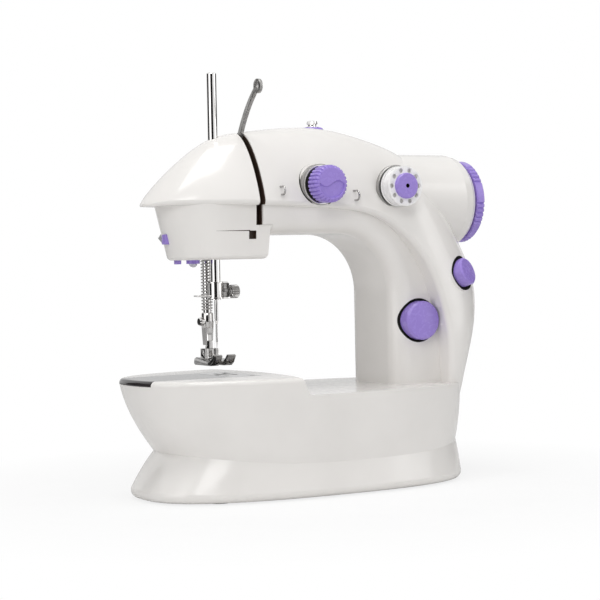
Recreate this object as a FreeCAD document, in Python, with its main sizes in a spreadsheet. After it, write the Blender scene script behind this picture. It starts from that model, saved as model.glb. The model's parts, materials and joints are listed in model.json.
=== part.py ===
import FreeCAD, Part
import Sketcher
import math
import os
import re
from FreeCAD import Vector, Placement, Rotation

doc = FreeCAD.newDocument("sewing_machine")
sheet = doc.addObject("Spreadsheet::Sheet", "Sizes")

# Driving sizes, millimetres and degrees. X runs along the arm to the handwheel,
# Y from front to back, Z up from the table.
SIZES = {
    # bed
    "wall": 2.2, "bed_mid_x": -2.0, "deck_z": 59.8, "low_deck_z": 51.2, "bed_left": 97.8,
    "bed_right": 87.0, "bed_half": 49.2, "oval_power": 2.6, "skirt_z": 0.8, "skirt_left": 95.5,
    "skirt_right": 87.8, "skirt_half": 46.0, "deck_edge_round": 2.2, "skirt_edge_round": 3.5,
    "step_x": -24.5, "step_run": 7.0, "step_arc": 175.0, "deck_thick": 5.0,
    # arm, column and head
    "slot_x": -37.5, "slot_wide": 3.2, "nose_long": 53.0, "arm_half": 26.5, "brim_z": 144.2,
    "slot_crest_z": 181.2, "crest_z": 184.0, "column_half": 35.0, "bulge_x": 94.5, "bulge_z": 105.0,
    "rim_round": 2.5, "core_half": 23.5, "arm_core_half": 22.5, "throat_top_z": 129.5,
    "throat_wall_x": 40.6, "throat_round": 30.0, "core_edge_round": 9.0,
    "head_floor_z": 117.5, "head_left_top": 31.0, "head_left_low": 24.0, "head_right_x": -30.0,
    "seam": 0.3, "ledge_z": 134.3,
    # handwheel end
    "shaft_z": 146.0, "shaft_r": 3.0, "boss_r": 25.0, "boss_x": 58.0, "boss_end_x": 94.0,
    "wheel_r": 21.8, "wheel_end_x": 99.8, "wheel_gap": 0.6, "hub_r": 7.0, "grip_r": 1.3,
    "bush_wall": 2.0, "fit": 0.03, "loose": 0.4,
    # needle bar
    "needle_x": -51.0, "needle_bar_r": 2.5, "needle_bar_top_z": 211.0, "needle_bar_low_z": 97.5,
    "crank_r": 12.0, "crank_disc_r": 15.0, "crank_x": -45.0, "crank_thick": 3.0, "crank_pin_r": 2.0,
    "clamp_z": 98.0, "clamp_tall": 6.5, "needle_r": 0.5, "needle_tip_z": 72.5,
    # take-up lever
    "lever_thick": 1.6, "lever_wide": 3.6, "lever_pivot_y": 3.0, "lever_pivot_z": 165.0,
    "eye_y": -23.6, "eye_z": 202.6, "eye_r": 3.6, "eye_hole_r": 1.5, "stud_r": 2.0,
    # presser bar
    "presser_y": 10.0, "presser_r": 2.0, "presser_top_z": 150.0, "presser_low_z": 83.0,
    "spring_r": 2.55, "spring_wire_r": 0.4, "spring_pitch": 1.46, "spring_low_z": 91.4,
    "foot_z": 64.8, "foot_long": 28.0, "foot_half": 6.0, "foot_thick": 2.0, "foot_pin_y": 8.0,
    "foot_pin_z": 71.0, "foot_pin_r": 1.0, "lifter_x": -41.0, "lifter_z": 124.0, "lifter_pin_r": 2.0,
    # bed works
    "hook_x": -64.0, "hook_r": 12.1, "hook_low_z": 45.4, "hook_top_z": 56.6, "low_shaft_z": 30.0,
    "bobbin_r": 10.2, "bobbin_wide": 8.6, "hook_bobbin_r": 9.8, "crown_teeth": 20.0, "tooth_wide": 1.1,
    "motor_y": 24.0, "motor_z": 25.0, "motor_r": 12.0, "motor_long": 31.0, "motor_x": 0.0,
    "belt_thick": 1.2, "belt_wide": 4.0, "timing_x": 64.0, "timing_r": 9.0, "drive_x": 36.0,
    "drive_r": 13.0, "motor_pulley_r": 4.0,
    "cover_thick": 2.6, "cover_half": 18.0, "plate_thick": 1.6, "plate_left_x": -52.6, "plate_right_x": -35.5,
    "plate_half": 20.0, "base_thick": 2.2,
    # controls and trims
    "dial_x": -4.5, "dial_z": 154.0, "dial_r": 9.4, "dial_thick": 8.5, "dial_front_y": -38.0,
    "winder_x": 39.8, "winder_z": 153.0, "winder_front_y": -36.2, "cap_r": 6.5,
    "speed_x": 54.5, "speed_z": 84.0, "speed_r": 10.0, "speed_out": 5.0,
    "power_x": 78.5, "power_z": 108.4, "power_r": 7.3, "power_out": 2.4,
    "power_turn": 29.0, "power_tilt": 20.0, "power_y": -31.6,
    "guide_x": -26.5, "guide_z": 151.0, "guide2_x": 15.5, "guide2_z": 148.5, "jack_z": 62.0,
    "staple_r": 2.0, "staple2_r": 2.4, "staple_wire_r": 0.5, "staple_y": -27.2, "staple2_y": -28.4,
    "lamp_y": 1.7, "lamp_r": 2.2, "lamp_holder_r": 3.4, "spool_x": 11.5, "spool_y": 8.0, "spool_base_r": 6.0, "spool_rod_r": 2.2,
}
for row, (alias, value) in enumerate(SIZES.items(), 1):
    sheet.set("A%d" % row, alias)
    sheet.set("B%d" % row, repr(value))
    sheet.setAlias("B%d" % row, alias)
doc.recompute()

NODES = []


def val(alias):
    """The number in a named cell."""
    return float(sheet.get(alias))


def formula(text):
    """A size formula with its aliases pointed at the sheet."""
    return re.sub(r"[a-z][a-z_0-9]*", lambda m: "Sizes." + m.group(0) if m.group(0) in SIZES else m.group(0),
                  str(text))


def bind(obj, prop, text):
    obj.setExpression(prop, formula(text))


TURN = {
    "Z": Rotation(),
    "X": Rotation(Vector(0, 1, 0), 90),
    "-X": Rotation(Vector(0, 1, 0), -90),
    "Y": Rotation(Vector(1, 0, 0), -90),
    "-Y": Rotation(Vector(1, 0, 0), 90),
    "eye": Rotation(Vector(1, 0, 0), 180).multiply(Rotation(Vector(0, 1, 0), 90)),
}


def put(obj, at, axis="Z"):
    """Turn an object's Z to the axis and bind its base point to formulas."""
    obj.Placement = Placement(Vector(), TURN[axis])
    for name, text in zip("xyz", at):
        bind(obj, "Placement.Base." + name, text)
    return obj


def cylinder(r, length, at, axis="Z"):
    obj = doc.addObject("Part::Cylinder", "cyl")
    bind(obj, "Radius", r)
    bind(obj, "Height", length)
    return put(obj, at, axis)


def box(size, at):
    obj = doc.addObject("Part::Box", "box")
    for prop, text in zip(("Length", "Width", "Height"), size):
        bind(obj, prop, text)
    return put(obj, at)


def ball(r, at):
    obj = doc.addObject("Part::Sphere", "ball")
    bind(obj, "Radius", r)
    return put(obj, at)


def join(items):
    obj = doc.addObject("Part::MultiFuse", "join")
    obj.Shapes = items
    obj.Refine = True
    return obj


def group(items):
    """Separate solids kept together as one node."""
    obj = doc.addObject("Part::Compound", "group")
    obj.Links = items
    return obj


def cut(base, tools):
    obj = doc.addObject("Part::Cut", "cut")
    obj.Base = base
    obj.Tool = tools[0] if len(tools) == 1 else join(tools)
    return obj


def node(name, obj):
    obj.Label = name
    NODES.append(obj)
    return obj


def made(name, shape):
    """A moulded or bent form, set as a finished shape."""
    obj = doc.addObject("Part::Feature", name)
    obj.Shape = shape
    return node(name, obj)


def outline(body, points, plane="XZ_Plane"):
    """A closed outline with each corner held by two bound distances."""
    sk = body.newObject("Sketcher::SketchObject", "outline")
    sk.AttachmentSupport = [([f for f in body.Origin.OriginFeatures if f.Role == plane][0], "")]
    sk.MapMode = "FlatFace"
    spots = []
    for p in points:
        spots.append(Vector(*[float(number_of(t)) for t in p], 0))
    count = len(spots)
    for k in range(count):
        sk.addGeometry(Part.LineSegment(spots[k], spots[(k + 1) % count]), False)
    for k in range(count):
        sk.addConstraint(Sketcher.Constraint("Coincident", k, 2, (k + 1) % count, 1))
    for k, p in enumerate(points):
        for kind, text, number in (("DistanceX", p[0], spots[k].x), ("DistanceY", p[1], spots[k].y)):
            index = sk.addConstraint(Sketcher.Constraint(kind, -1, 1, k, 1, number))
            bind(sk, "Constraints[%d]" % index, text)
    return sk


def number_of(text):
    """The present value of a size formula made of sums, products and divisions."""
    tokens = re.findall(r"[a-z][a-z_0-9]*|\d+\.?\d*|[-+*/()]", str(text))
    pos = [0]

    def atom():
        tok = tokens[pos[0]]
        pos[0] += 1
        if tok == "-":
            return -atom()
        if tok == "(":
            out = total()
            pos[0] += 1
            return out
        return val(tok) if tok in SIZES else float(tok)

    def product():
        out = atom()
        while pos[0] < len(tokens) and tokens[pos[0]] in "*/":
            tok = tokens[pos[0]]
            pos[0] += 1
            out = out * atom() if tok == "*" else out / atom()
        return out

    def total():
        out = product()
        while pos[0] < len(tokens) and tokens[pos[0]] in "+-":
            tok = tokens[pos[0]]
            pos[0] += 1
            out = out + product() if tok == "+" else out - product()
        return out

    return total()


def turned(points, at, axis="Z"):
    """A turned body: the (radius, height) outline swept round its own Z."""
    body = doc.addObject("PartDesign::Body", "turned")
    sk = outline(body, points)
    rev = body.newObject("PartDesign::Revolution", "revolve")
    rev.Profile = sk
    rev.ReferenceAxis = (sk, ["V_Axis"])
    rev.Angle = 360
    body.Tip = rev
    return put(body, at, axis)


def slab(points, thick, at, axis="Z", plane="XY_Plane"):
    """A plate: an outline padded by a thickness."""
    body = doc.addObject("PartDesign::Body", "slab")
    sk = outline(body, points, plane)
    pad = body.newObject("PartDesign::Pad", "pad")
    pad.Profile = sk
    bind(pad, "Length", thick)
    body.Tip = pad
    return put(body, at, axis)


def ring_of_cuts(body, count, r, hole_r, depth_from, depth, each=1, step=0):
    """Round pockets in a ring, cut along the body's Z, singly or in groups some degrees apart."""
    sk = body.newObject("Sketcher::SketchObject", "ring")
    sk.AttachmentSupport = [([f for f in body.Origin.OriginFeatures if f.Role == "XY_Plane"][0], "")]
    sk.MapMode = "FlatFace"
    sk.AttachmentOffset = Placement(Vector(0, 0, number_of(depth_from)), Rotation())
    bind(sk, "AttachmentOffset.Base.z", depth_from)
    for k in range(each):
        turn = math.radians(k * step)
        across = "(%s) * %.6f" % (r, math.cos(turn))
        up = "(%s) * %.6f" % (r, math.sin(turn))
        spot = Vector(number_of(r) * math.cos(turn), number_of(r) * math.sin(turn), 0)
        sk.addGeometry(Part.Circle(spot, Vector(0, 0, 1), number_of(hole_r)), False)
        for kind, value, size in (("DistanceX", spot.x, across), ("DistanceY", spot.y, up)):
            place = sk.addConstraint(Sketcher.Constraint(kind, -1, 1, k, 3, value))
            bind(sk, "Constraints[%d]" % place, size)
        wide = sk.addConstraint(Sketcher.Constraint("Radius", k, number_of(hole_r)))
        bind(sk, "Constraints[%d]" % wide, hole_r)
    doc.recompute()
    pocket = body.newObject("PartDesign::Pocket", "pocket")
    pocket.Profile = sk
    bind(pocket, "Length", depth)
    pocket.Reversed = False
    body.Tip = pocket
    doc.recompute()
    pattern = body.newObject("PartDesign::PolarPattern", "polar")
    pattern.Originals = [pocket]
    pattern.Axis = (sk, ["N_Axis"])
    pattern.Angle = 360
    pattern.Occurrences = count
    body.Tip = pattern
    return body


def wave_step(body, r, rise, face_z, depth):
    """Sinks the half of a round face above an S-shaped line, which is two arcs that meet at the middle."""
    radius, sag = number_of(r), number_of(rise)
    bend = (radius * radius / 4 + sag * sag) / (2 * sag)
    half_turn = math.asin(radius / 2 / bend)
    up = Vector(0, 0, 1)
    crest = Part.Circle(Vector(radius / 2, sag - bend, 0), up, bend)
    trough = Part.Circle(Vector(-radius / 2, bend - sag, 0), up, bend)
    sk = body.newObject("Sketcher::SketchObject", "wave")
    sk.AttachmentSupport = [([f for f in body.Origin.OriginFeatures if f.Role == "XY_Plane"][0], "")]
    sk.MapMode = "FlatFace"
    bind(sk, "AttachmentOffset.Base.z", face_z)
    sk.addGeometry(Part.ArcOfCircle(Part.Circle(Vector(), up, radius), 0, math.pi), False)
    sk.addGeometry(Part.ArcOfCircle(crest, math.pi / 2 - half_turn, math.pi / 2 + half_turn), False)
    sk.addGeometry(Part.ArcOfCircle(trough, 1.5 * math.pi - half_turn, 1.5 * math.pi + half_turn), False)
    doc.recompute()
    pocket = body.newObject("PartDesign::Pocket", "step")
    pocket.Profile = sk
    bind(pocket, "Length", depth)
    body.Tip = pocket
    return body


# Housing: the outer skin and the hollow are built by the same functions, the hollow a wall smaller.
def oval(left, right, half, z):
    """A closed egg-like outline round the bed's middle."""
    power = val("oval_power")
    spots = []
    for k in range(24):
        c = math.cos(math.radians(15 * k))
        s = math.sin(math.radians(15 * k))
        reach = right if c >= 0 else left
        x = math.copysign(abs(c) ** (2 / power), c) * reach
        y = math.copysign(abs(s) ** (2 / power), s) * half
        spots.append(Vector(val("bed_mid_x") + x, y, z))
    curve = Part.BSplineCurve()
    curve.interpolate(spots, PeriodicFlag=True)
    return Part.Wire([curve.toShape()])


def hull(inset):
    """The tapering bed: reach to the left, right and front at five heights."""
    left, right, half, deck = val("bed_left"), val("bed_right"), val("bed_half"), val("deck_z")
    levels = [(0.033, 38.0, 7.5, 9.5), (0.318, 21.3, 3.0, 5.4), (0.585, 9.8, 0.8, 1.8),
              (0.82, 2.8, 0.1, 0.5), (1.0, 0.0, 0.0, 0.0)]
    wires = []
    for part, dl, dr, dh in levels:
        wires.append(oval(left - dl - inset, right - dr - inset, half - dh - inset, part * deck))
    return Part.makeLoft(wires, True, False)


def skirt():
    left, right, half, low = val("skirt_left"), val("skirt_right"), val("skirt_half"), val("skirt_z")
    levels = [(low, 0.0, 0.0, 0.0), (8.4, 4.6, 0.7, 1.0), (14.0, 8.2, 1.4, 2.0), (28.0, 21.0, 3.6, 5.2)]
    return Part.makeLoft([oval(left - dl, right - dr, half - dh, z) for z, dl, dr, dh in levels], True, False)


def well(inset, low, top):
    """The upright opening under the bed that the base plate closes."""
    edge = inset + 1.2
    wire = oval(val("skirt_left") - 6.6 - edge, val("skirt_right") - edge, val("skirt_half") - edge, low)
    return Part.Face(wire).extrude(Vector(0, 0, top - low))


def arch(inner, outer, half, side, lean, crown, inset):
    """A shell section: a flat inner side with rounded rims and an arched outer side."""
    start = Vector(inner[0], 0, inner[1])
    up = Vector(outer[0], 0, outer[1]) - start
    tall = up.Length
    up.normalize()
    start = start + up * inset
    tall = max(tall - 2 * inset, 0.4)
    half = max(half - inset, 0.3)
    r = min(val("rim_round"), 0.3 * half, 0.3 * tall)

    def spot(across, rise):
        return start + Vector(0, across, 0) + up * rise

    def edge(poles):
        curve = Part.BezierCurve()
        curve.setPoles(poles)
        return curve.toShape()

    def rising(sign):
        foot = half - lean * half * r / tall * 0.6
        corner = [spot(sign * (half - r), 0), spot(sign * (half - 0.45 * r), 0),
                  spot(sign * half, 0.45 * r), spot(sign * foot, r)]
        flank = [spot(sign * foot, r), spot(sign * half * (1 - lean), r + side * (tall - r)),
                 spot(sign * crown * half, tall), spot(0, tall)]
        return corner, flank

    c1, s1 = rising(-1)
    c2, s2 = rising(1)
    base = Part.makeLine(spot(half - r, 0), spot(r - half, 0))
    return Part.Wire([edge(c1), edge(s1), edge(s2[::-1]), edge(c2[::-1]), base])


def shell(inset):
    """The outer shell swept from the nose over the arm and down the column."""
    slot, nose, arm, wide = val("slot_x"), val("nose_long"), val("arm_half"), val("column_half")
    brim, slot_top, crest = val("brim_z"), val("slot_crest_z"), val("crest_z")
    bx, bz, deck = val("bulge_x"), val("bulge_z"), val("low_deck_z")
    rows = []
    for turn in (88, 80, 68, 52, 35, 17):
        c = math.cos(math.radians(turn))
        s = math.sin(math.radians(turn))
        x = slot - (nose - inset) * s
        top = brim + 0.8 + (slot_top - brim - 0.8) * (1 - s ** 1.55) ** 0.9 + 1.2 * c
        rows.append(((x, brim), (x, top), arm * c, 0.36, 0.12, 0.45))
    span = wide - arm
    rows += [
        ((slot, brim - 0.3), (slot, slot_top), arm, 0.36, 0.12, 0.45),
        ((slot + 24, brim - 1.2), (slot + 24, crest - 0.2), arm + 0.01 * span, 0.36, 0.12, 0.45),
        ((slot + 48, brim - 2.6), (slot + 50, crest - 0.4), arm + 0.06 * span, 0.38, 0.11, 0.47),
        ((slot + 69, brim - 7.7), (slot + 78, crest - 6.7), arm + 0.25 * span, 0.44, 0.09, 0.52),
        ((bx - 49.5, bz + 21), (bx - 30.5, bz + 60), arm + 0.59 * span, 0.54, 0.06, 0.60),
        ((bx - 38.5, bz + 5), (bx - 10.5, bz + 27), arm + 0.86 * span, 0.62, 0.03, 0.66),
        ((bx - 31.5, bz - 14), (bx, bz), arm + 0.98 * span, 0.66, 0.01, 0.70),
        ((bx - 28.2, deck + 21), (bx - 2.5, deck + 27), wide, 0.66, 0, 0.70),
        ((bx - 27, deck + 4), (bx - 9.5, deck + 4), wide - 2.6, 0.66, 0, 0.70),
        ((bx - 27, deck - 11), (bx - 14, deck - 13), wide - 7, 0.66, 0, 0.70),
    ]
    return Part.makeLoft([arch(*row, inset) for row in rows], True, False)


def core(inset, low):
    """The narrower C under the shell: column and arm round the throat."""
    top, wall, r = val("throat_top_z") + inset, val("throat_wall_x") + inset, val("throat_round") + inset
    left, right, roof = val("slot_x"), val("bulge_x") - 22, val("brim_z") + 8
    mid = Vector(wall - r, 0, top - r)
    bend = Part.Arc(mid + Vector(0, 0, r), mid + Vector(r, 0, r) * math.sqrt(0.5), mid + Vector(r, 0,
                                                                                                0)).toShape()
    spots = [mid + Vector(r, 0, 0), Vector(wall, 0, low), Vector(right, 0, low), Vector(right, 0, roof - 12),
             Vector(right - 30, 0, roof), Vector(left, 0, roof), Vector(left, 0, top), mid + Vector(0, 0, r)]
    edges = [bend] + [Part.makeLine(a, b) for a, b in zip(spots, spots[1:])]
    half = val("core_half") - inset
    face = Part.Face(Part.Wire(edges))
    column = face.extrude(Vector(0, 2 * half, 0))
    column.translate(Vector(0, -half, 0))
    soft = [e for e in column.Edges if abs(abs(e.CenterOfMass.y) - half) < 0.01 and e.CenterOfMass.x < wall + 0.1
            and e.CenterOfMass.z < top + 0.1 and e.BoundBox.ZMax > val("low_deck_z") - 1 and e.Length > 10]
    return column.makeFillet(val("core_edge_round") - inset, soft)


def head(inset):
    """The box below the nose, rounded at its left end and drawn in towards the floor."""
    floor, top = val("head_floor_z") + inset, val("brim_z") + (2 if inset == 0 else 3.4)
    wires = []
    for z, reach, half, right in ((floor, val("head_left_low"), val("arm_core_half") - 1.5, -2.5),
                                  (top, val("head_left_top"), val("arm_core_half"), 0)):
        half = half - inset
        x0 = val("needle_x") - reach + inset + half
        x1 = val("head_right_x") + right - inset
        tip = Part.Arc(Vector(x0, -half, z), Vector(x0 - half, 0, z), Vector(x0, half, z))
        wires.append(Part.Wire([Part.makeLine(Vector(x0, half, z), Vector(x1, half, z)),
                                Part.makeLine(Vector(x1, half, z), Vector(x1, -half, z)),
                                Part.makeLine(Vector(x1, -half, z), Vector(x0, -half, z)),
                                tip.toShape()]))
    solid = Part.makeLoft(wires, True, True)
    if inset == 0:
        solid = solid.makeFillet(2.5, [e for e in solid.Edges if e.BoundBox.ZMax < floor + 0.01])
    return solid


def block(x0, x1, y0, y1, z0, z1):
    return Part.makeBox(x1 - x0, y1 - y0, z1 - z0, Vector(x0, y0, z0))


def rod(r, length, at, way):
    return Part.makeCylinder(r, length, Vector(*at), Vector(*way))


def boss(inset):
    r, x0, x1 = val("boss_r") - inset, val("boss_x"), val("boss_end_x") - inset
    spots = [(x0 - 8, 0), (x0 - 8, r), (x1 - 8, r), (x1 - 3.5, r - 1.1), (x1 - 1, r - 2.9), (x1, r - 4.6), (x1, 0)]
    wire = Part.makePolygon([Vector(x, 0, val("shaft_z") + d) for x, d in spots + spots[:1]])
    return Part.Face(wire).revolve(Vector(0, 0, val("shaft_z")), Vector(1, 0, 0), 360)


def low_deck_cut():
    """The space over the low deck, bounded by the curved step."""
    x, z0, z1, run = val("step_x"), val("low_deck_z"), val("deck_z") + 1, val("step_run")
    mid = x - val("step_arc")
    rise = Part.BezierCurve()
    rise.setPoles([Vector(x + run, 0, z0), Vector(x + run * 0.45, 0, z0), Vector(x + run * 0.55, 0,
                                                                                 val("deck_z")),
                   Vector(x, 0, val("deck_z") + 0.02)])
    spots = [Vector(x, 0, val("deck_z") + 0.02), Vector(x, 0, z1), Vector(x + 170, 0, z1), Vector(x + 170,
                                                                                                  0, z0),
             Vector(x + run, 0, z0)]
    edges = [rise.toShape()] + [Part.makeLine(a, b) for a, b in zip(spots, spots[1:])]
    tool = Part.Face(Part.Wire(edges)).revolve(Vector(mid, 0, 0), Vector(0, 0, 1), 60)
    tool.rotate(Vector(mid, 0, 0), Vector(0, 0, 1), -30)
    return tool


def power_way():
    """Outward direction of the shoulder button."""
    a, b = math.radians(val("power_turn")), math.radians(val("power_tilt"))
    return Vector(math.sin(a) * math.cos(b), -math.cos(a) * math.cos(b), math.sin(b))


REAR_SCREWS = ((0.0, 137.0), (50.0, 118.0), (52.0, 84.0))
REAR_JACKS = ((54.2, 4.2), (62.6, 3.4))


def housing():
    wall, deck, low = val("wall"), val("deck_z"), val("low_deck_z")
    half, z = val("core_half"), val("shaft_z")
    bed = hull(0)
    bed = bed.makeFillet(val("deck_edge_round"), [e for e in bed.Edges if e.BoundBox.ZMin > deck - 0.1])
    bed = bed.cut(low_deck_cut())
    foot = skirt()
    foot = foot.makeFillet(val("skirt_edge_round"),
                           [e for e in foot.Edges if e.BoundBox.ZMax < val("skirt_z") + 0.1])
    column = core(0, low - 8)
    skin = bed.fuse([foot, shell(0), column, boss(0), head(0)])
    room = block(-130, 130, -70, 70, -5, low - wall)
    room = room.fuse(block(-130, val("step_x") - 9, -70, 70, 0, deck - val("deck_thick")))
    body = skin
    for hollow in (hull(wall).common(room), well(wall, -5, 8), shell(wall), core(wall, low - 20),
                   boss(wall), head(wall)):
        body = body.cut(hollow)
    # pads for the controls, then their holes
    way = power_way()
    spot = Vector(val("power_x"), val("power_y"), val("power_z"))
    pads = [rod(val("dial_r") + 0.6, 11, (val("dial_x"), -16, val("dial_z")), (0, -1, 0)),
            rod(8.5, 12.2, (val("winder_x"), -16, val("winder_z")), (0, -1, 0)),
            rod(val("speed_r") + 3, 6.5, (val("speed_x"), -half + 6.5, val("speed_z")),
                (0, -1, 0)).common(column),
            Part.makeCylinder(val("power_r") + 2.5, 7, spot - way * 10, way)]
    for pad in pads:
        body = body.fuse(pad)
    gx, gz = val("guide_x"), val("guide_z")
    hx, hz = val("guide2_x"), val("guide2_z")
    tools = [rod(val("shaft_r") + val("bush_wall"), 30, (80, 0, z), (1, 0, 0)),
             rod(val("speed_r") + 0.9, 16, (val("speed_x"), -half + 8, val("speed_z")), (0, -1, 0)),
             rod(2.0, 30, (val("dial_x"), -10, val("dial_z")), (0, -1, 0)),
             rod(2.85, 40, (val("winder_x"), -10, val("winder_z")), (0, -1, 0)),
             rod(val("spool_base_r"), 30, (val("spool_x"), val("spool_y"), val("crest_z") - 14), (0, 0, 1)),
             Part.makeCylinder(val("power_r") + 1.0, 24, spot - way * 12, way),
             block(-69, -58, -6, 6, 3, 24)]
    for x, z0, spread in ((gx, gz, val("staple_r")), (hx, hz, val("staple2_r"))):
        tools += [rod(val("staple_wire_r"), 16, (x, -14, z0 + spread * sign), (0, -1, 0)) for sign in (1, -1)]
    for x, h in REAR_SCREWS:
        tools.append(rod(2.5, 4, (x, half - 1.5, h), (0, 1, 0)))
    for x, r in REAR_JACKS:
        tools.append(rod(r, 12, (x, half - 10, val("jack_z")), (0, 1, 0)))
    for tool in tools:
        body = body.cut(tool)
    return body


def split_housing():
    """Part the housing into two half shells and the nose cover, with the bed's openings."""
    body = housing()
    x, gap, top = val("slot_x"), val("slot_wide") / 2, val("throat_top_z")
    deck, nx, seam = val("deck_z"), val("needle_x"), val("seam")
    ledge, side = val("ledge_z"), val("head_right_x")
    nose = block(-130, x - gap, -60, 60, 90, 230).fuse([
        block(-130, x + gap - seam, 4, 60, 90, 230), block(-130, -20, -60, 60, 90, top - 0.1),
        block(-130, side - 0.1, -60, 60, 90, ledge - 0.1)])
    bushing = val("needle_bar_r") + val("bush_wall")
    cover = body.common(nose).cut([
        rod(bushing, val("slot_crest_z") - 6 - 150, (nx, 0, 150), (0, 0, 1)),
        rod(bushing, 20, (nx, 0, val("head_floor_z") + 0.6), (0, 0, 1)),
        rod(val("needle_bar_r") + val("loose"), 120, (nx, 0, 90), (0, 0, 1)),
        block(-43.1, x - gap + 0.1, -40, -17, top - 2.2, top + 2),
        rod(val("spring_r") + 1.2, 20, (nx, val("presser_y"), 105), (0, 0, 1)),
        rod(val("lifter_pin_r") + 0.3, 20, (val("lifter_x"), 12, val("lifter_z")), (0, 1, 0)),
        block(-82, -73, -1.5, 3, 125.5, 130.5), block(-72.1, -68.9, 1.4, 6.2, 110, 125),
        rod(val("lamp_holder_r"), 10, (-62.5, val("lamp_y"), 112), (0, 0, 1))])
    rest = body.cut([block(-130, x + gap, -60, 60, 90, 230), block(-130, -20, -60, 60, 90, top),
                     block(-130, side, -60, 60, 90, ledge)])
    cov, plate = val("cover_thick"), val("plate_thick")
    left, right, half = val("plate_left_x"), val("plate_right_x"), val("plate_half")
    rest = rest.cut([
        block(-130, left + 0.01, -val("cover_half") - seam, val("cover_half") + seam, deck - cov - 0.1,
              deck + 1),
        rod(val("hook_r") + 1.0, 20, (val("hook_x"), 0, deck - 12), (0, 0, 1)),
        block(left, right, -half, half, deck - plate, deck + 1),
        block(left, right - 2.5, -11, 15, deck - 10, deck)])
    front = rest.common(block(-130, 130, -70, 0, -5, 240))
    rear = rest.common(block(-130, 130, 0, 70, -5, 240))
    return front, rear, cover


front_half, rear_half, nose_part = split_housing()
made("front_shell", front_half)
made("rear_shell", rear_half)
made("nose_cover", nose_part)


def slide_cover():
    """The bobbin cover: a strip of the deck that ends in the tip of the bed's own outline."""
    deck, thick = val("deck_z"), val("cover_thick")
    tip = hull(0)
    tip = tip.makeFillet(val("deck_edge_round"), [e for e in tip.Edges if e.BoundBox.ZMin > deck - 0.1])
    left = val("plate_left_x") - 0.3
    return tip.common(block(-130, left, -val("cover_half"), val("cover_half"), deck - thick, deck + 1))


made("bobbin_cover", slide_cover())

BASE_TOP = "(skirt_z + 0.4 + base_thick)"
made("base_plate", well(val("wall") + 0.2, val("skirt_z") + 0.4, number_of(BASE_TOP)))
node("rubber_feet", group([cylinder("6", "skirt_z + 0.4", (x, y, "0")) for x, y in
                           (("-64", "-24"), ("-64", "24"), ("58", "-22"), ("58", "22"))]))

# needle plate and feed
plate_width = "(plate_right_x - plate_left_x - 0.2)"
plate = box((plate_width, "2 * plate_half - 0.2", "plate_thick"),
            ("plate_left_x + 0.1", "0.1 - plate_half", "deck_z - plate_thick"))
node("needle_plate", cut(plate, [
    cylinder("1.3", "6", ("needle_x", "0", "deck_z - 4")),
    box(("2.4", "15", "6"), ("needle_x + 2.4", "-4", "deck_z - 4")),
    box(("2.4", "15", "6"), ("needle_x + 7.4", "-4", "deck_z - 4")),
    cylinder("1.6", "6", ("plate_right_x - 4", "14", "deck_z - 4")),
    cylinder("1.6", "6", ("plate_right_x - 4", "-14", "deck_z - 4"))]))
plate_screws = [cylinder("1.55", "plate_thick - 0.1", ("plate_right_x - 4", y, "deck_z - plate_thick"))
                for y in ("-14", "14")]
feed_rows = [box(("1.6", "10", "4"), (x, "-1.5", "deck_z - 4.4")) for x in ("needle_x + 2.8",
                                                                            "needle_x + 7.8")]
node("feed_dog", join(feed_rows + [box(("8", "14", "2.2"), ("needle_x + 2.1", "-3.5", "deck_z - 6.4"))]))
node("feed_bar", box(("8", "12", "3"), ("needle_x + 2.1", "-2.5", "deck_z - 9.6")))
node("feed_guide", cut(
    box(("9.6", "32", "24 - deck_thick"), ("needle_x + 1.3", "-14", "deck_z - 24")),
    [box(("8.8", "19", "30"), ("needle_x + 1.7", "-6.5", "deck_z - 20"))]))

# hook works
node("lower_shaft", cylinder("shaft_r", "131", ("-57", "0", "low_shaft_z"), "X"))
shaft_bearings = ([
    cut(box(("6", "14", "low_shaft_z + 7 - " + BASE_TOP), (x, "-7", BASE_TOP)),
        [cylinder("shaft_r + fit", "20", (x + " - 5", "0", "low_shaft_z"), "X")]) for x in ("-40", "48")])
crown = [cut(cylinder("13.4", "2.2", ("hook_x + 7.4", "0", "low_shaft_z"), "X"),
             [cylinder("shaft_r", "8", ("hook_x + 4", "0", "low_shaft_z"), "X")])]
step = 360.0 / val("crown_teeth")
for k in range(int(val("crown_teeth"))):
    tooth = box(("2.5", "tooth_wide", "2.4"), ("hook_x + 5.1", "0", "low_shaft_z"))
    a = math.radians(k * step)
    tooth.Placement = Placement(Vector(), Rotation(Vector(1, 0, 0), k * step))
    bind(tooth, "Placement.Base.x", "hook_x + 5.1")
    bind(tooth, "Placement.Base.y", "%.6f * tooth_wide / 2 + %.6f" % (-math.cos(a), -math.sin(a) * 10.8))
    bind(tooth, "Placement.Base.z", "low_shaft_z + %.6f * tooth_wide / 2 + %.6f" % (-math.sin(a),
                                                                                    math.cos(a) * 10.8))
    crown.append(tooth)
node("hook_gear", join(crown))
pinion = [cut(cylinder("4.6", "2", ("hook_x", "0", "low_shaft_z + 11")),
              [cylinder("2.5", "8", ("hook_x", "0", "low_shaft_z + 8"))])]
for k in range(int(val("crown_teeth") / 2)):
    tooth = box(("2.6", "tooth_wide", "2"), ("0", "0", "0"))
    a = math.radians((k + 0.5) * step * 2)
    tooth.Placement = Placement(Vector(), Rotation(Vector(0, 0, 1), (k + 0.5) * step * 2))
    bind(tooth, "Placement.Base.x", "hook_x + %.6f + %.6f * tooth_wide / 2" % (4.4 * math.cos(a),
                                                                               math.sin(a)))
    bind(tooth, "Placement.Base.y", "%.6f - %.6f * tooth_wide / 2" % (4.4 * math.sin(a), math.cos(a)))
    bind(tooth, "Placement.Base.z", "low_shaft_z + 11")
    pinion.append(tooth)
hook_bearing = (cut(box(("7.5", "10", "30"), ("hook_x - 4", "-5", BASE_TOP)),
                         [cylinder("2.5 + fit", "40", ("hook_x", "0", "0"))]))
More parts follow.
